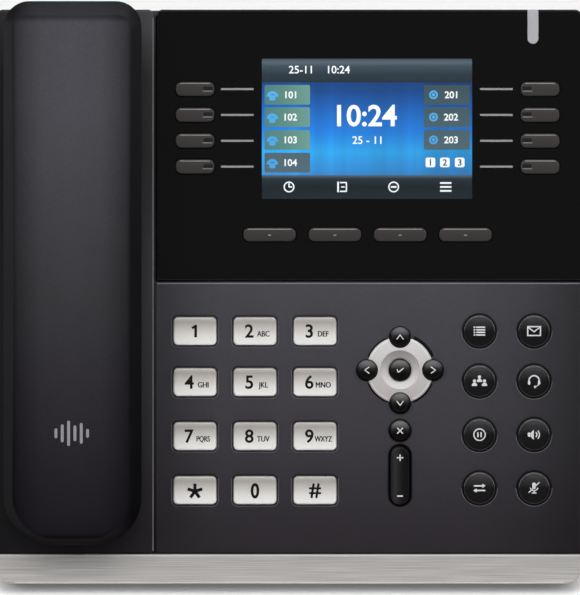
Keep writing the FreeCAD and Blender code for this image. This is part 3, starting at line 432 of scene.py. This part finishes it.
def arc(x, y, radius, start, end, steps=ARC_STEPS):
    return [rim_point(x, y, radius, start + (end - start) * step / steps) for step in range(steps + 1)]


def circle(x, y, radius, sides=DISC_SIDES):
    return arc(x, y, radius, 0, 360, sides)[:-1]


def bow(x, y, radius, thick, start, end):
    return arc(x, y, radius + thick / 2, start, end) + arc(x, y, radius - thick / 2, end, start)


def ring(x, y, radius, thick):
    return [bow(x, y, radius, thick, 0, 180), bow(x, y, radius, thick, 180, 360)]


def rounded(x, y, width, height, corner):
    points = []
    for quarter, (right, up) in enumerate(QUARTERS):
        middle = x + right * (width / 2 - corner), y + up * (height / 2 - corner)
        points += arc(*middle, corner, 90 * quarter, 90 * quarter + 90, CORNER_STEPS)
    return points


def turned(shapes, angle):
    cosine = math.cos(math.radians(angle))
    sine = math.sin(math.radians(angle))
    return [[(x * cosine - y * sine, x * sine + y * cosine) for x, y in shape] for shape in shapes]


def lettering(text, weight=0.0):
    """A mesh of a line of text at size 1 and thickness 1, with its base line at zero."""
    curve = bpy.data.curves.new("lettering", "FONT")
    curve.body = text
    curve.offset = weight
    curve.extrude = 0.5
    curve.resolution_u = 4
    carrier = place("lettering", curve)
    bpy.context.view_layer.update()
    letters = bpy.data.meshes.new_from_object(carrier.evaluated_get(bpy.context.evaluated_depsgraph_get()))
    bpy.data.objects.remove(carrier)
    return letters


CAP_HEIGHT = max(vertex.co.y for vertex in lettering("H").vertices)
INK = 0.05
FILM = 0.02
SUNK = 0.02
SPIN_SIDES = 72


class Inlay:
    """Thin raised shapes on one surface, gathered into a mesh in the frame of the face, in mm."""

    def __init__(self, u=0.0, v=0.0, level=0.0, thick=INK):
        self.mesh = bmesh.new()
        self.u = u
        self.v = v
        self.level = level
        self.thick = thick
        self.sunk = SUNK

    def height(self, u, v):
        """Level of the surface at a place on the face."""
        return self.level

    def loop(self, points):
        return [self.mesh.verts.new(point) for point in points]

    def band(self, near, far):
        """Adds the faces between two loops of equally many points."""
        for index, point in enumerate(near):
            after = (index + 1) % len(near)
            self.mesh.faces.new((point, near[after], far[after], far[index]))

    def prism(self, low, high):
        self.mesh.faces.new(high)
        self.mesh.faces.new(low[::-1])
        self.band(low, high)

    def face_outwards(self):
        bmesh.ops.recalc_face_normals(self.mesh, faces=self.mesh.faces)

    def draw(self, *shapes):
        for shape in shapes:
            spots = [(self.u + x, self.v + y) for x, y in shape]
            low = self.loop((u, v, self.height(u, v) - self.sunk) for u, v in spots)
            high = self.loop((u, v, self.height(u, v) + self.thick) for u, v in spots)
            self.prism(low, high)
        return self

    def spin(self, section, capped):
        """Adds the solid that a section, as radii and levels, sweeps around the middle."""
        loops = []
        for radius, level in section:
            loops.append(self.loop((u, v, level) for u, v in circle(self.u, self.v, radius, SPIN_SIDES)))
        if capped:
            self.mesh.faces.new(loops[0])
            self.mesh.faces.new(loops[-1])
        else:
            loops.append(loops[0])
        for near, far in zip(loops, loops[1:]):
            self.band(near, far)
        self.face_outwards()

    def write(self, text, x, y, height, weight=0.0, narrow=1.0):
        """Lettering about a middle, with capitals of the height given, narrowed by a share."""
        letters = lettering(text, weight)
        columns = [vertex.co.x for vertex in letters.vertices]
        scale = height / CAP_HEIGHT
        letters.transform(
            Matrix.Translation((self.u + x, self.v + y - height / 2, self.level - self.sunk))
            @ Matrix.Diagonal((scale * narrow, scale, self.thick + self.sunk, 1))
            @ Matrix.Translation((-(min(columns) + max(columns)) / 2, 0, 0.5))
        )
        self.mesh.from_mesh(letters)
        bpy.data.meshes.remove(letters)

    def piece(self, name, material, body="base", slot=None):
        mesh = bpy.data.meshes.new(name)
        self.mesh.to_mesh(mesh)
        self.mesh.free()
        mesh.transform(FACE @ Matrix.Scale(MM, 4))
        mesh.materials.append(material)
        part = place(name, mesh)
        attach(part, body)


def on_key(node, drop=0.0):
    """An inlay on the top of a key, or that much below it."""
    low, high = face_box(node)
    return Inlay((low.x + high.x) / 2, (low.y + high.y) / 2, high.z - drop)


# Legends of the dial keys. The letters are laid over each other, a little apart, to look bold.

LETTERS = {"2": "ABC", "3": "DEF", "4": "GHI", "5": "JKL", "6": "MNO", "7": "PQRS", "8": "TUV", "9": "WXYZ"}
LETTER_WIDTHS = {3: 0.82, 4: 0.72}
LETTER_HEIGHT = 1.9
LETTER_PLACE = (2.9, -0.95)
LETTER_SHIFTS = (-0.07, 0.0, 0.07)
LETTER_STEP = 0.01
DIGIT_HEIGHT = 4.4
DIGIT_WEIGHT = 0.02
DIGIT_PLACE = (-2.0, 0.0)
ZERO_HEIGHT = 4.9
ZERO_WEIGHT = 0.03
ZERO_WIDTH = 0.84
ZERO_PLACE = (0.0, -0.2)
STAR_MIDDLE = (0, -0.4)
STAR_ARMS = 5
DIAL_SIGNS = {
    "1": [box(0.25, 0, 0.92, DIGIT_HEIGHT), bar(-1.05, 1.0, 0.45, 1.9, 0.82)],
    "star": [bar(*STAR_MIDDLE, *rim_point(*STAR_MIDDLE, 2.7, 90 + 360 / STAR_ARMS * arm), 1.12)
             for arm in range(STAR_ARMS)],
    "hash": [bar(x - 0.4, -2.75, x + 0.4, 2.35, 0.8) for x in (-0.85, 0.85)]
    + [bar(-2.1, y, 2.1, y, 0.7) for y in (-1.05, 0.65)],
}


def dial_legend(name):
    inlay = on_key(f"dial_key_{name}")
    if name in DIAL_SIGNS:
        inlay.draw(*DIAL_SIGNS[name])
    elif name in LETTERS:
        letters = LETTERS[name]
        inlay.write(name, *DIGIT_PLACE, DIGIT_HEIGHT, DIGIT_WEIGHT)
        for shift in LETTER_SHIFTS:
            inlay.write(letters, LETTER_PLACE[0] + shift, LETTER_PLACE[1], LETTER_HEIGHT,
                        narrow=LETTER_WIDTHS[len(letters)])
            inlay.thick += LETTER_STEP
    else:
        inlay.write(name, *ZERO_PLACE, ZERO_HEIGHT, ZERO_WEIGHT, ZERO_WIDTH)
    inlay.piece(f"legend_dial_{name}", ink_black, f"dial_key_{name}")


for dial_name in ("1", "2", "3", "4", "5", "6", "7", "8", "9", "star", "0", "hash"):
    dial_legend(dial_name)


# Pictograms of the round keys, and the domes under some of them.

def person(x, y):
    shoulders = arc(x, y - 0.95, 0.95, 0, 180) + [(x - 0.95, y - 1.15), (x + 0.95, y - 1.15)]
    return [circle(x, y + 0.6, 0.58), shoulders]


CHEVRON = [bar(-1.15, -0.8, 0.09, 0.95, 0.34), bar(-0.09, 0.95, 1.15, -0.8, 0.34)]
LIST_ROWS = (1.35, 0.45, -0.45, -1.35)
PICTOGRAMS = {
    "list_key": [box(0.45, y, 3.1, 0.52) for y in LIST_ROWS] + [box(-1.75, y, 0.6, 0.52) for y in LIST_ROWS],
    "message_key": [
        box(0, 1.55, 4.9, 0.45), box(0, -1.55, 4.9, 0.45),
        box(-2.22, 0, 0.45, 2.65), box(2.22, 0, 0.45, 2.65),
        bar(-2.0, 1.3, 0.15, -0.35, 0.42), bar(-0.15, -0.35, 2.0, 1.3, 0.42),
    ],
    "conference_key": person(0, 0.85) + person(-1.75, -0.55) + person(1.75, -0.55),
    "headset_key": [
        bow(0, 0.1, 1.8, 0.5, -5, 185),
        rounded(-1.75, -0.55, 0.85, 1.4, 0.3), rounded(1.75, -0.55, 0.85, 1.4, 0.3),
        bar(1.75, -1.15, 0.55, -1.95, 0.32), circle(0.35, -2.0, 0.42),
    ],
    "hold_key": ring(0, 0, 2.0, 0.42) + [box(-0.55, 0, 0.5, 1.8), box(0.55, 0, 0.5, 1.8)],
    "speaker_key": [
        box(-1.75, 0, 0.9, 1.4), [(-1.2, -0.7), (-0.1, -1.75), (-0.1, 1.75), (-1.2, 0.7)],
        bow(-0.2, 0, 1.15, 0.42, -45, 45), bow(-0.2, 0, 2.05, 0.42, -45, 45),
    ],
    "transfer_key": [
        bar(-2.0, 0.8, 1.0, 0.8, 0.5), [(1.0, 0.05), (2.15, 0.8), (1.0, 1.55)],
        bar(-1.0, -0.8, 2.0, -0.8, 0.5), [(-1.0, -0.05), (-2.15, -0.8), (-1.0, -1.55)],
    ],
    "mute_key": [
        rounded(0, 0.8, 1.3, 2.3, 0.6), bow(0, 0.5, 1.4, 0.35, 195, 345), box(0, -1.3, 0.35, 0.6),
        box(0, -1.7, 1.7, 0.35), bar(-1.9, -1.6, 1.9, 2.1, 0.36),
    ],
    "up_key": CHEVRON,
    "left_key": turned(CHEVRON, 90),
    "down_key": turned(CHEVRON, 180),
    "right_key": turned(CHEVRON, 270),
    "ok_key": [bar(-1.05, 0.3, -0.55, -0.9, 0.38), bar(-0.72, -0.86, 1.25, 0.7, 0.38)],
    "cancel_key": [bar(-1.0, -1.0, 1.0, 1.0, 0.4), bar(-1.0, 1.0, 1.0, -1.0, 0.4)],
    "volume_rocker": [box(0, 6.2, 2.3, 0.44), box(0, 6.2, 0.44, 2.3), box(0, -7.2, 2.0, 0.48)],
}
DISH_DEPTH = 0.4
DOME_RISE = 0.35
DOME_STEPS = 8
DOME_ROOT = 0.1
DOME_SUNK = 0.2


def dome_section(level, flat, edge):
    """Radii and levels of a dome that meets the rounded edge of its key without a crease."""
    drop = edge + (flat ** 2 / DOME_RISE - DOME_RISE) / 2
    radius = drop + DOME_RISE
    reach = radius * flat / (radius - edge)
    radii = [reach * step / DOME_STEPS for step in range(DOME_STEPS, 0, -1)]
    return [(away, level - drop + math.sqrt(radius ** 2 - away ** 2)) for away in radii]


def add_dome(node):
    dome = on_key(node)
    section = dome_section(dome.level, *DOMES[node])
    reach, foot = section[0]
    dome.spin([(reach, foot - DOME_ROOT), *section], capped=True)
    for face in dome.mesh.faces:
        face.smooth = all(vertex.co.z > foot - DOME_ROOT / 2 for vertex in face.verts)
    for edge in dome.mesh.edges:
        edge.smooth = all(face.smooth for face in edge.link_faces)
    dome.piece(f"dome_{node}", dome_black, node)


for key_name, shapes in PICTOGRAMS.items():
    legend = on_key(key_name, DISH_DEPTH if key_name in DISHED else 0.0)
    if key_name in DOMES:
        add_dome(key_name)
        legend.level += DOME_RISE
        legend.sunk = DOME_SUNK
    legend.draw(*shapes).piece(f"legend_{key_name}", ink_white, key_name)


# Signal windows of the line keys, dots of the soft keys, and the lines printed beside the display; also
# painted highlights under each signal window and along the top edges of the line and soft keys.
# The shapes that take their x from the side of the display hold y, width and height, and a corner.

SIDES = {"left": 1, "right": -1}
KEYS_IN_ROW = range(1, 5)
LENS_REACH = 4.6
LENS_SHAPE = (0.25, 3.2, 1.3, 0.3)
LENS_GLINT = (-0.75, 3.4, 0.22)
LENS_GLINT_SHIFT = -0.2
LINE_KEY_GLINT = box(0, 1.95, 10.4, 0.26)
SOFT_KEY_DOT_AND_GLINT = (rounded(0, -0.2, 1.1, 0.4, 0.15), box(0, 1.88, 15.2, 0.26))
PRINT_LINE = (11.4, 0.7)
PRINT_MIDDLE = {"left": -18.1, "right": 72.6}

printed = Inlay(thick=FILM)
for side, inward in SIDES.items():
    for number in KEYS_IN_ROW:
        node = f"line_key_{side}_{number}"
        lens = on_key(node)
        printed.draw(box(PRINT_MIDDLE[side], lens.v, *PRINT_LINE))
        lens.draw(rounded(inward * LENS_REACH, *LENS_SHAPE))
        lens.piece(f"lens_{node}", smoked_lens, node)
        # Painted highlights: a thin line under the signal window and one along the top edge of the key.
        glint = on_key(node)
        glint.draw(box(inward * (LENS_REACH + LENS_GLINT_SHIFT), *LENS_GLINT), LINE_KEY_GLINT)
        glint.piece(f"glint_{node}", ink_grey_and_highlight, node)
printed.piece("printed_lines", ink_grey_and_highlight, slot="panel_gloss")

# Each soft key gets its dot and a painted highlight along its top edge.
for number in KEYS_IN_ROW:
    node = f"soft_key_{number}"
    on_key(node).draw(*SOFT_KEY_DOT_AND_GLINT).piece(f"dot_{node}", ink_grey_and_highlight, node)


# Picture on the display, laid out on the grid of its own 480 by 320 dots, from the top left corner.

SCREEN_MIDDLE = (27.3, 159.3)
SCREEN_SIZE = (73.6, 49.1)
DOTS_WIDE = 480
DOTS_HIGH = 320
DOT = SCREEN_SIZE[0] / DOTS_WIDE
SCREEN_LEVEL = face_box("display_module")[1].z
LAYER = 0.03
TOP_BAR = 54
BOTTOM_BAR = 266
BAR_CORNER = 0.1
TILE_TOPS = (60, 111, 163, 215)
TILE_HEIGHT = 45
TILE_CORNER = 4
LEFT_TILE = (6, 110)
RIGHT_TILE = (370, 475)
GREEN_TILES = 3
NUMBER_HEIGHT = 15
LEFT_FIRST = 101
RIGHT_FIRST = 201
LEFT_NUMBER = 66
RIGHT_NUMBER = 432
LEFT_ICON = 24
RIGHT_ICON = 392
PAGE_COLUMNS = (385, 418, 452)
PAGE_ROW = 237
PAGE_HALF = 11
PAGE_HEIGHT = 14
MENU_ROW = 293
LIGHT = 0.012
BOLD = 0.02
# Text, column, row, height and weight; then the signs of the menu by their column.
SCREEN_TEXTS = (
    ("25-11", 88, 25, 17, LIGHT),
    ("10:24", 176, 25, 17, LIGHT),
    ("10:24", 240, 130, 46, BOLD),
    ("25 - 11", 240, 186, 17, LIGHT),
)
MENU = {
    62: ring(0, 0, 11, 3) + [box(0, -4, 3, 9), box(3.5, 0, 8, 3)],
    182: [box(-8, 0, 4, 24), box(4, -10, 16, 3), box(4, 10, 16, 3), box(11, 0, 3, 18), box(3, 0, 8, 3)],
    301: ring(0, 0, 11, 3) + [box(0, 0, 13, 4)],
    420: [box(0, -9, 26, 4), box(0, 0, 26, 4), box(0, 9, 26, 4)],
}


class ScreenInlay(Inlay):
    """One layer of the picture, drawn and written in dots."""

    def __init__(self, layer):
        super().__init__(SCREEN_MIDDLE[0] - SCREEN_SIZE[0] / 2, SCREEN_MIDDLE[1] + SCREEN_SIZE[1] / 2,
                         SCREEN_LEVEL + LAYER * layer, LAYER)

    def draw(self, *shapes):
        return super().draw(*[[(x * DOT, -y * DOT) for x, y in shape][::-1] for shape in shapes])

    def write(self, text, x, y, height, weight=0.0, narrow=1.0):
        super().write(text, x * DOT, -y * DOT, height * DOT, weight, narrow)

    def show(self, name, material):
        self.piece(name, material, slot="display_panel")


def screen_area(left, top, right, bottom):
    """Middle and size on the face, in metres, of an area given in dots."""
    u = SCREEN_MIDDLE[0] + ((left + right) / 2 - DOTS_WIDE / 2) * DOT
    v = SCREEN_MIDDLE[1] - ((top + bottom) / 2 - DOTS_HIGH / 2) * DOT
    return (u * MM, v * MM), ((right - left) * DOT * MM, (bottom - top) * DOT * MM)


def panel(left, top, right, bottom, corner):
    return rounded((left + right) / 2, (top + bottom) / 2, right - left, bottom - top, corner)


def tile(columns, top):
    return panel(columns[0], top, columns[1], top + TILE_HEIGHT, TILE_CORNER)


def show_bar(name, top, bottom, paint_name, stops, **options):
    """A lit strip over the whole width of the display."""
    bar_paint = lit(paint_name, stops, *screen_area(0, top, DOTS_WIDE, bottom), **options)
    ScreenInlay(0).draw(panel(0, top, DOTS_WIDE, bottom, BAR_CORNER)).show(name, bar_paint)


# The display picture carries a painted reflection of glare, lighter on the left.
show_bar("screen_picture", TOP_BAR, BOTTOM_BAR, "screen_blue", (
    (0.0, (42, 126, 196)), (0.06, (46, 132, 201)), (0.25, (40, 154, 221)), (0.46, (26, 119, 209)),
    (0.68, (20, 96, 181)), (0.9, (14, 68, 134)), (1.0, (12, 60, 120)),
), streaks=0.55, fall=0.25)
show_bar("screen_top_bar", 0, TOP_BAR, "screen_bar_top", (
    (0.0, (28, 42, 52)), (0.35, (36, 50, 60)), (0.7, (58, 74, 84)), (0.85, (82, 99, 110)),
    (1.0, (52, 66, 77)),
))
show_bar("screen_bottom_bar", BOTTOM_BAR, DOTS_HIGH, "screen_bar_bottom", (
    (0.0, (20, 34, 42)), (0.5, (10, 22, 30)), (0.85, (28, 42, 50)), (1.0, (78, 94, 102)),
))

whole_area = screen_area(0, 0, DOTS_WIDE, DOTS_HIGH)
green_area = screen_area(LEFT_TILE[0], TILE_TOPS[0], LEFT_TILE[1], TILE_TOPS[GREEN_TILES - 1] + TILE_HEIGHT)
tiles_area = screen_area(0, TILE_TOPS[0], DOTS_WIDE, TILE_TOPS[-1] + TILE_HEIGHT)
green_light = lit("screen_green", (
    (0.0, (72, 122, 127)), (0.5, (88, 134, 124)), (1.0, (104, 150, 140)),
), *green_area, axis="X")
slate_light = lit("screen_slate", (
    (0.0, (78, 100, 110)), (0.5, (68, 92, 101)), (1.0, (54, 76, 85)),
), *tiles_area)
white_light = lit("screen_white", ((0.0, (236, 242, 246)), (1.0, (248, 250, 252))), *whole_area)
blue_light = lit("screen_sky", ((0.0, (60, 150, 214)), (1.0, (84, 176, 232))), *whole_area)
navy_light = lit("screen_navy", ((0.0, (24, 44, 78)), (1.0, (34, 60, 98))), *whole_area)

tiles_green = ScreenInlay(1)
tiles_dark = ScreenInlay(1)
words = ScreenInlay(2)
icons = ScreenInlay(2)
pages = ScreenInlay(3)

for text, column, row, height, weight in SCREEN_TEXTS:
    words.write(text, column, row, height, weight)
for index, top in enumerate(TILE_TOPS):
    middle = top + TILE_HEIGHT / 2
    words.write(str(LEFT_FIRST + index), LEFT_NUMBER, middle, NUMBER_HEIGHT, BOLD)
    icons.draw(bow(LEFT_ICON, middle + 5, 10, 7, 185, 355), rounded(LEFT_ICON, middle + 7, 14, 12, 3))
    if index < GREEN_TILES:
        tiles_green.draw(tile(LEFT_TILE, top))
        tiles_dark.draw(tile(RIGHT_TILE, top))
        words.write(str(RIGHT_FIRST + index), RIGHT_NUMBER, middle, NUMBER_HEIGHT, BOLD)
        icons.draw(*ring(RIGHT_ICON, middle, 8, 4), circle(RIGHT_ICON, middle, 4))
    else:
        tiles_dark.draw(tile(LEFT_TILE, top))
for number, column in enumerate(PAGE_COLUMNS, start=1):
    words.draw(panel(column - PAGE_HALF, PAGE_ROW - PAGE_HALF, column + PAGE_HALF, PAGE_ROW + PAGE_HALF,
                     TILE_CORNER))
    pages.write(str(number), column, PAGE_ROW, PAGE_HEIGHT, BOLD)
for column, signs in MENU.items():
    words.draw(*[[(x + column, y + MENU_ROW) for x, y in sign] for sign in signs])

tiles_green.show("screen_tiles_green", green_light)
tiles_dark.show("screen_tiles_dark", slate_light)
words.show("screen_words", white_light)
icons.show("screen_icons", blue_light)
pages.show("screen_pages", navy_light)


# Mark of the handset: plain level bars that follow its crowned face.

HANDSET_MIDDLE = (-75.5, 107.0)
CROWN_LEVEL = face_box("handset_back")[1].z
CROWN_RADIUS = 2021.5
MARK_V = 53.0
MARK_HEIGHTS = (3.4, 6.2, 8.8, 5.4, 7.2, 3.0)
MARK_START = -5.5
MARK_PITCH = 2.2
MARK_WIDTH = 1.0
MARK_CORNER = 0.45


class CrownInlay(Inlay):
    """An inlay that follows the crown of the handset."""

    def height(self, u, v):
        return CROWN_LEVEL - (v - HANDSET_MIDDLE[1]) ** 2 / (2 * CROWN_RADIUS)


mark = CrownInlay(HANDSET_MIDDLE[0], MARK_V)
for step, tall in enumerate(MARK_HEIGHTS):
    mark.draw(rounded(MARK_START + MARK_PITCH * step, 0, MARK_WIDTH, tall, MARK_CORNER))
mark.piece("handset_mark", ink_grey_and_highlight, "handset")


# Painted highlights: thin bright lines around the openings of the dial and function keys, on the sides that
# catch the light.

LIP_GAP = 0.74
LIP_WIDTH = 0.2
LIP_OVERRUN = 0.6
DIAL_CORNER = 2.2

lip_highlights = Inlay(thick=FILM)
for row in subparts:
    node = row["node"]
    if node not in DISHED and not node.startswith("dial_key_"):
        continue
    low, high = face_box(node, above=0.0)
    lip_highlights.u = (low.x + high.x) / 2
    lip_highlights.v = (low.y + high.y) / 2
    half_width = (high.x - low.x) / 2 + LIP_GAP
    half_height = (high.y - low.y) / 2 + LIP_GAP
    corner = half_width if node in DISHED else DIAL_CORNER
    lip_highlights.draw(
        bow(corner - half_width, corner - half_height, corner, LIP_WIDTH, 180, 270),
        bow(half_width - corner, corner - half_height, corner, LIP_WIDTH, 270, 360),
    )
    if node not in DISHED:
        upright = (LIP_OVERRUN / 2, LIP_WIDTH, 2 * (half_height - corner) + LIP_OVERRUN)
        lip_highlights.draw(
            box(0, -half_height, 2 * (half_width - corner), LIP_WIDTH),
            box(-half_width, *upright),
            box(half_width, *upright),
        )
lip_highlights.piece("key_lip_highlights", lip_sheen, slot="housing_plastic")


# Painted highlights: bright lines beside the divider groove, under the upper panel and along the top and
# bottom edges of the trim.

EDGE_WIDTH = 0.3
EDGE_THICK = 0.04
GROOVE_LEFT = -47.6
GROOVE_ENDS = (11.5, 198.0)
PANEL_LOW = 105.1
PANEL_ENDS = (-46.2, 102.3)
# Height on the face, length and width of each line.
TRIM_LINES = ((9.85, 203.6, 0.28), (0.55, 192.0, 0.22))

edges = Inlay(thick=EDGE_THICK)
edges.draw(bar(GROOVE_LEFT, GROOVE_ENDS[0], GROOVE_LEFT, GROOVE_ENDS[1], EDGE_WIDTH))
edges.draw(bar(PANEL_ENDS[0], PANEL_LOW, PANEL_ENDS[1], PANEL_LOW, EDGE_WIDTH))
edges.piece("edge_highlight_lines", edge_sheen, slot="housing_plastic")

trim_edge_highlights = Inlay(level=face_box("front_trim")[1].z, thick=FILM)
trim_edge_highlights.draw(*[box(0, *line) for line in TRIM_LINES])
trim_edge_highlights.piece("trim_edge_highlights", painted_edge_highlight, slot="trim_metal")


# Navigation disc: a shallow dish around the OK key, from radii and heights of its section, with painted
# shade darker towards its top, then a painted shadow in the gap beside the disc, widest at the upper right,
# and a painted highlight on its rim, in arcs between the arrow keys.

DISH_SECTION = ((6.95, -0.02), (6.6, 0.26), (4.35, 0.02), (4.35, -0.1))
SHADOW_INNER = 11.92
SHADOW_WIDTHS = (0.95, 0.4, 0.4, 0.55)
RIM_RADIUS = 10.98
RIM_WIDTH = 0.2
ARROW_ANGLE = 23

dish = on_key("navigation_ring")
disc_painted_shadow = Inlay(dish.u, dish.v, thick=FILM)
disc_rim_highlight = Inlay(dish.u, dish.v, dish.level, thick=FILM)
dish.spin([(radius, dish.level + rise) for radius, rise in DISH_SECTION], capped=False)
for quarter, width in enumerate(SHADOW_WIDTHS):
    ends = 90 * quarter + ARROW_ANGLE, 90 * quarter + 90 - ARROW_ANGLE
    disc_painted_shadow.draw(bow(0, 0, SHADOW_INNER + width / 2, width, *ends))
    disc_rim_highlight.draw(bow(0, 0, RIM_RADIUS, RIM_WIDTH, *ends))
dish.piece("navigation_dish", dish_silver, slot="ring_silver")
disc_painted_shadow.piece("navigation_painted_shadow", painted_gap_shadow, slot="housing_plastic")
disc_rim_highlight.piece("navigation_rim_highlight", painted_edge_highlight, slot="ring_silver")


# Spring contacts inside the network, computer, headset and handset jacks: middle, count and roof of each.

JACKS = ((4.0, 8, -20.2), (-16.0, 8, -20.2), (-47.0, 4, -19.9), (-64.0, 4, -19.9))
CONTACT_PITCH = 1.02
CONTACT_WIDTH = 0.4
CONTACT_RUN = ((110.0, -0.1), (102.6, -2.4), (103.4, -2.9), (110.5, -0.5))

contacts = Inlay()
for middle, count, roof in JACKS:
    for number in range(count):
        u = middle + (number - (count - 1) / 2) * CONTACT_PITCH
        left, right = [
            contacts.loop((u + side * CONTACT_WIDTH / 2, v, roof + drop) for v, drop in CONTACT_RUN)
            for side in (-1, 1)
        ]
        contacts.prism(left, right)
contacts.face_outwards()
contacts.piece("jack_contacts", contact_gold, slot="jack_plastic")


# Floor and world. The floor glows a little for the camera. The world is dimmer as a light than to look at.

FLOOR_HALF = 30.0
FLOOR_GLOW = 0.1
FLOOR_COLOUR = (0.92, 0.92, 0.92, 1)
SKY_LIGHT = 0.75
SKY_STOPS = ((0.05, (0.55, 0.55, 0.56, 1)), (0.5, (0.2, 0.2, 0.21, 1)))

floor_mesh = bpy.data.meshes.new("floor")
floor_corners = [(*corner, 0) for corner in box(0, 0, 2 * FLOOR_HALF, 2 * FLOOR_HALF)]
floor_mesh.from_pydata(floor_corners, [], [range(len(floor_corners))])
floor = place("floor", floor_mesh)
floor_paint = Paint("floor_pale", base_color=FLOOR_COLOUR, roughness=0.9, specular_ior_level=0.0)
glow = floor_paint.add("ShaderNodeEmission", {"Color": (1, 1, 1, 1), "Strength": 1.0})
floor_rays = floor_paint.add("ShaderNodeLightPath").outputs
floor_mix = floor_paint.add("ShaderNodeMixShader", {
    0: floor_paint.combine("MULTIPLY", floor_rays["Is Camera Ray"], FLOOR_GLOW),
    1: floor_paint.shader.outputs[0],
    2: glow.outputs[0],
})
floor_paint.tree.links.new(floor_mix.outputs[0], floor_paint.find("OUTPUT_MATERIAL").inputs[0])
floor_mesh.materials.append(floor_paint.material)

world = bpy.data.worlds.new("studio")
world.use_nodes = True
scene.world = world
sky = Nodes(world.node_tree)
background = sky.find("BACKGROUND")
sky_colour = sky.ramp(sky.split(sky.coordinates("Generated"))["Z"], SKY_STOPS)
sky_rays = sky.add("ShaderNodeLightPath").outputs
mirrored = sky.combine("MAXIMUM", sky_rays["Is Glossy Ray"], sky_rays["Is Transmission Ray"])
viewed = sky.combine("MAXIMUM", sky_rays["Is Camera Ray"], mirrored)
sky.tree.links.new(sky_colour, background.inputs["Color"])
sky.tree.links.new(sky.span(viewed, SKY_LIGHT, 1.0), background.inputs["Strength"])


# Lights and camera. Soft boxes, each with its place in the frame of the face, its size and its power.

SOFT_BOXES = {
    "light_top": ((0.0, 0.95, 1.3), (1.2, 0.5), 12.5),
    "light_left": ((-1.0, 0.5, 1.15), (0.6, 0.9), 8.0),
    "light_right": ((1.0, 0.5, 1.15), (0.6, 0.9), 8.0),
    "light_rear": ((0.3, 1.3, -1.0), (1.2, 0.8), 12.0),
}
PHOTO_MIDDLE = (0.35 * MM, 100.2 * MM)
PHOTO_HEIGHT = 208.25 * MM
CAMERA_DISTANCE = 3.0
VIEW_END = 100.0

face_middle = FACE @ Vector((0, FACE_HEIGHT / 2, 0))
for name, (spot, (width, height), power) in SOFT_BOXES.items():
    lamp = bpy.data.lights.new(name, "AREA")
    lamp.shape = "RECTANGLE"
    lamp.size = width
    lamp.size_y = height
    lamp.energy = power
    holder = place(name, lamp)
    holder.location = FACE @ Vector(spot)
    holder.rotation_euler = (face_middle - holder.location).to_track_quat("-Z", "Y").to_euler()

camera_data = bpy.data.cameras.new("camera")
camera_data.lens = camera_data.sensor_width * CAMERA_DISTANCE / PHOTO_HEIGHT
camera_data.clip_end = VIEW_END
camera = place("camera", camera_data)
camera.location = FACE @ Vector((*PHOTO_MIDDLE, CAMERA_DISTANCE))
camera.rotation_euler = (TILT, 0, 0)
scene.camera = camera
scene.view_settings.view_transform = "Standard"
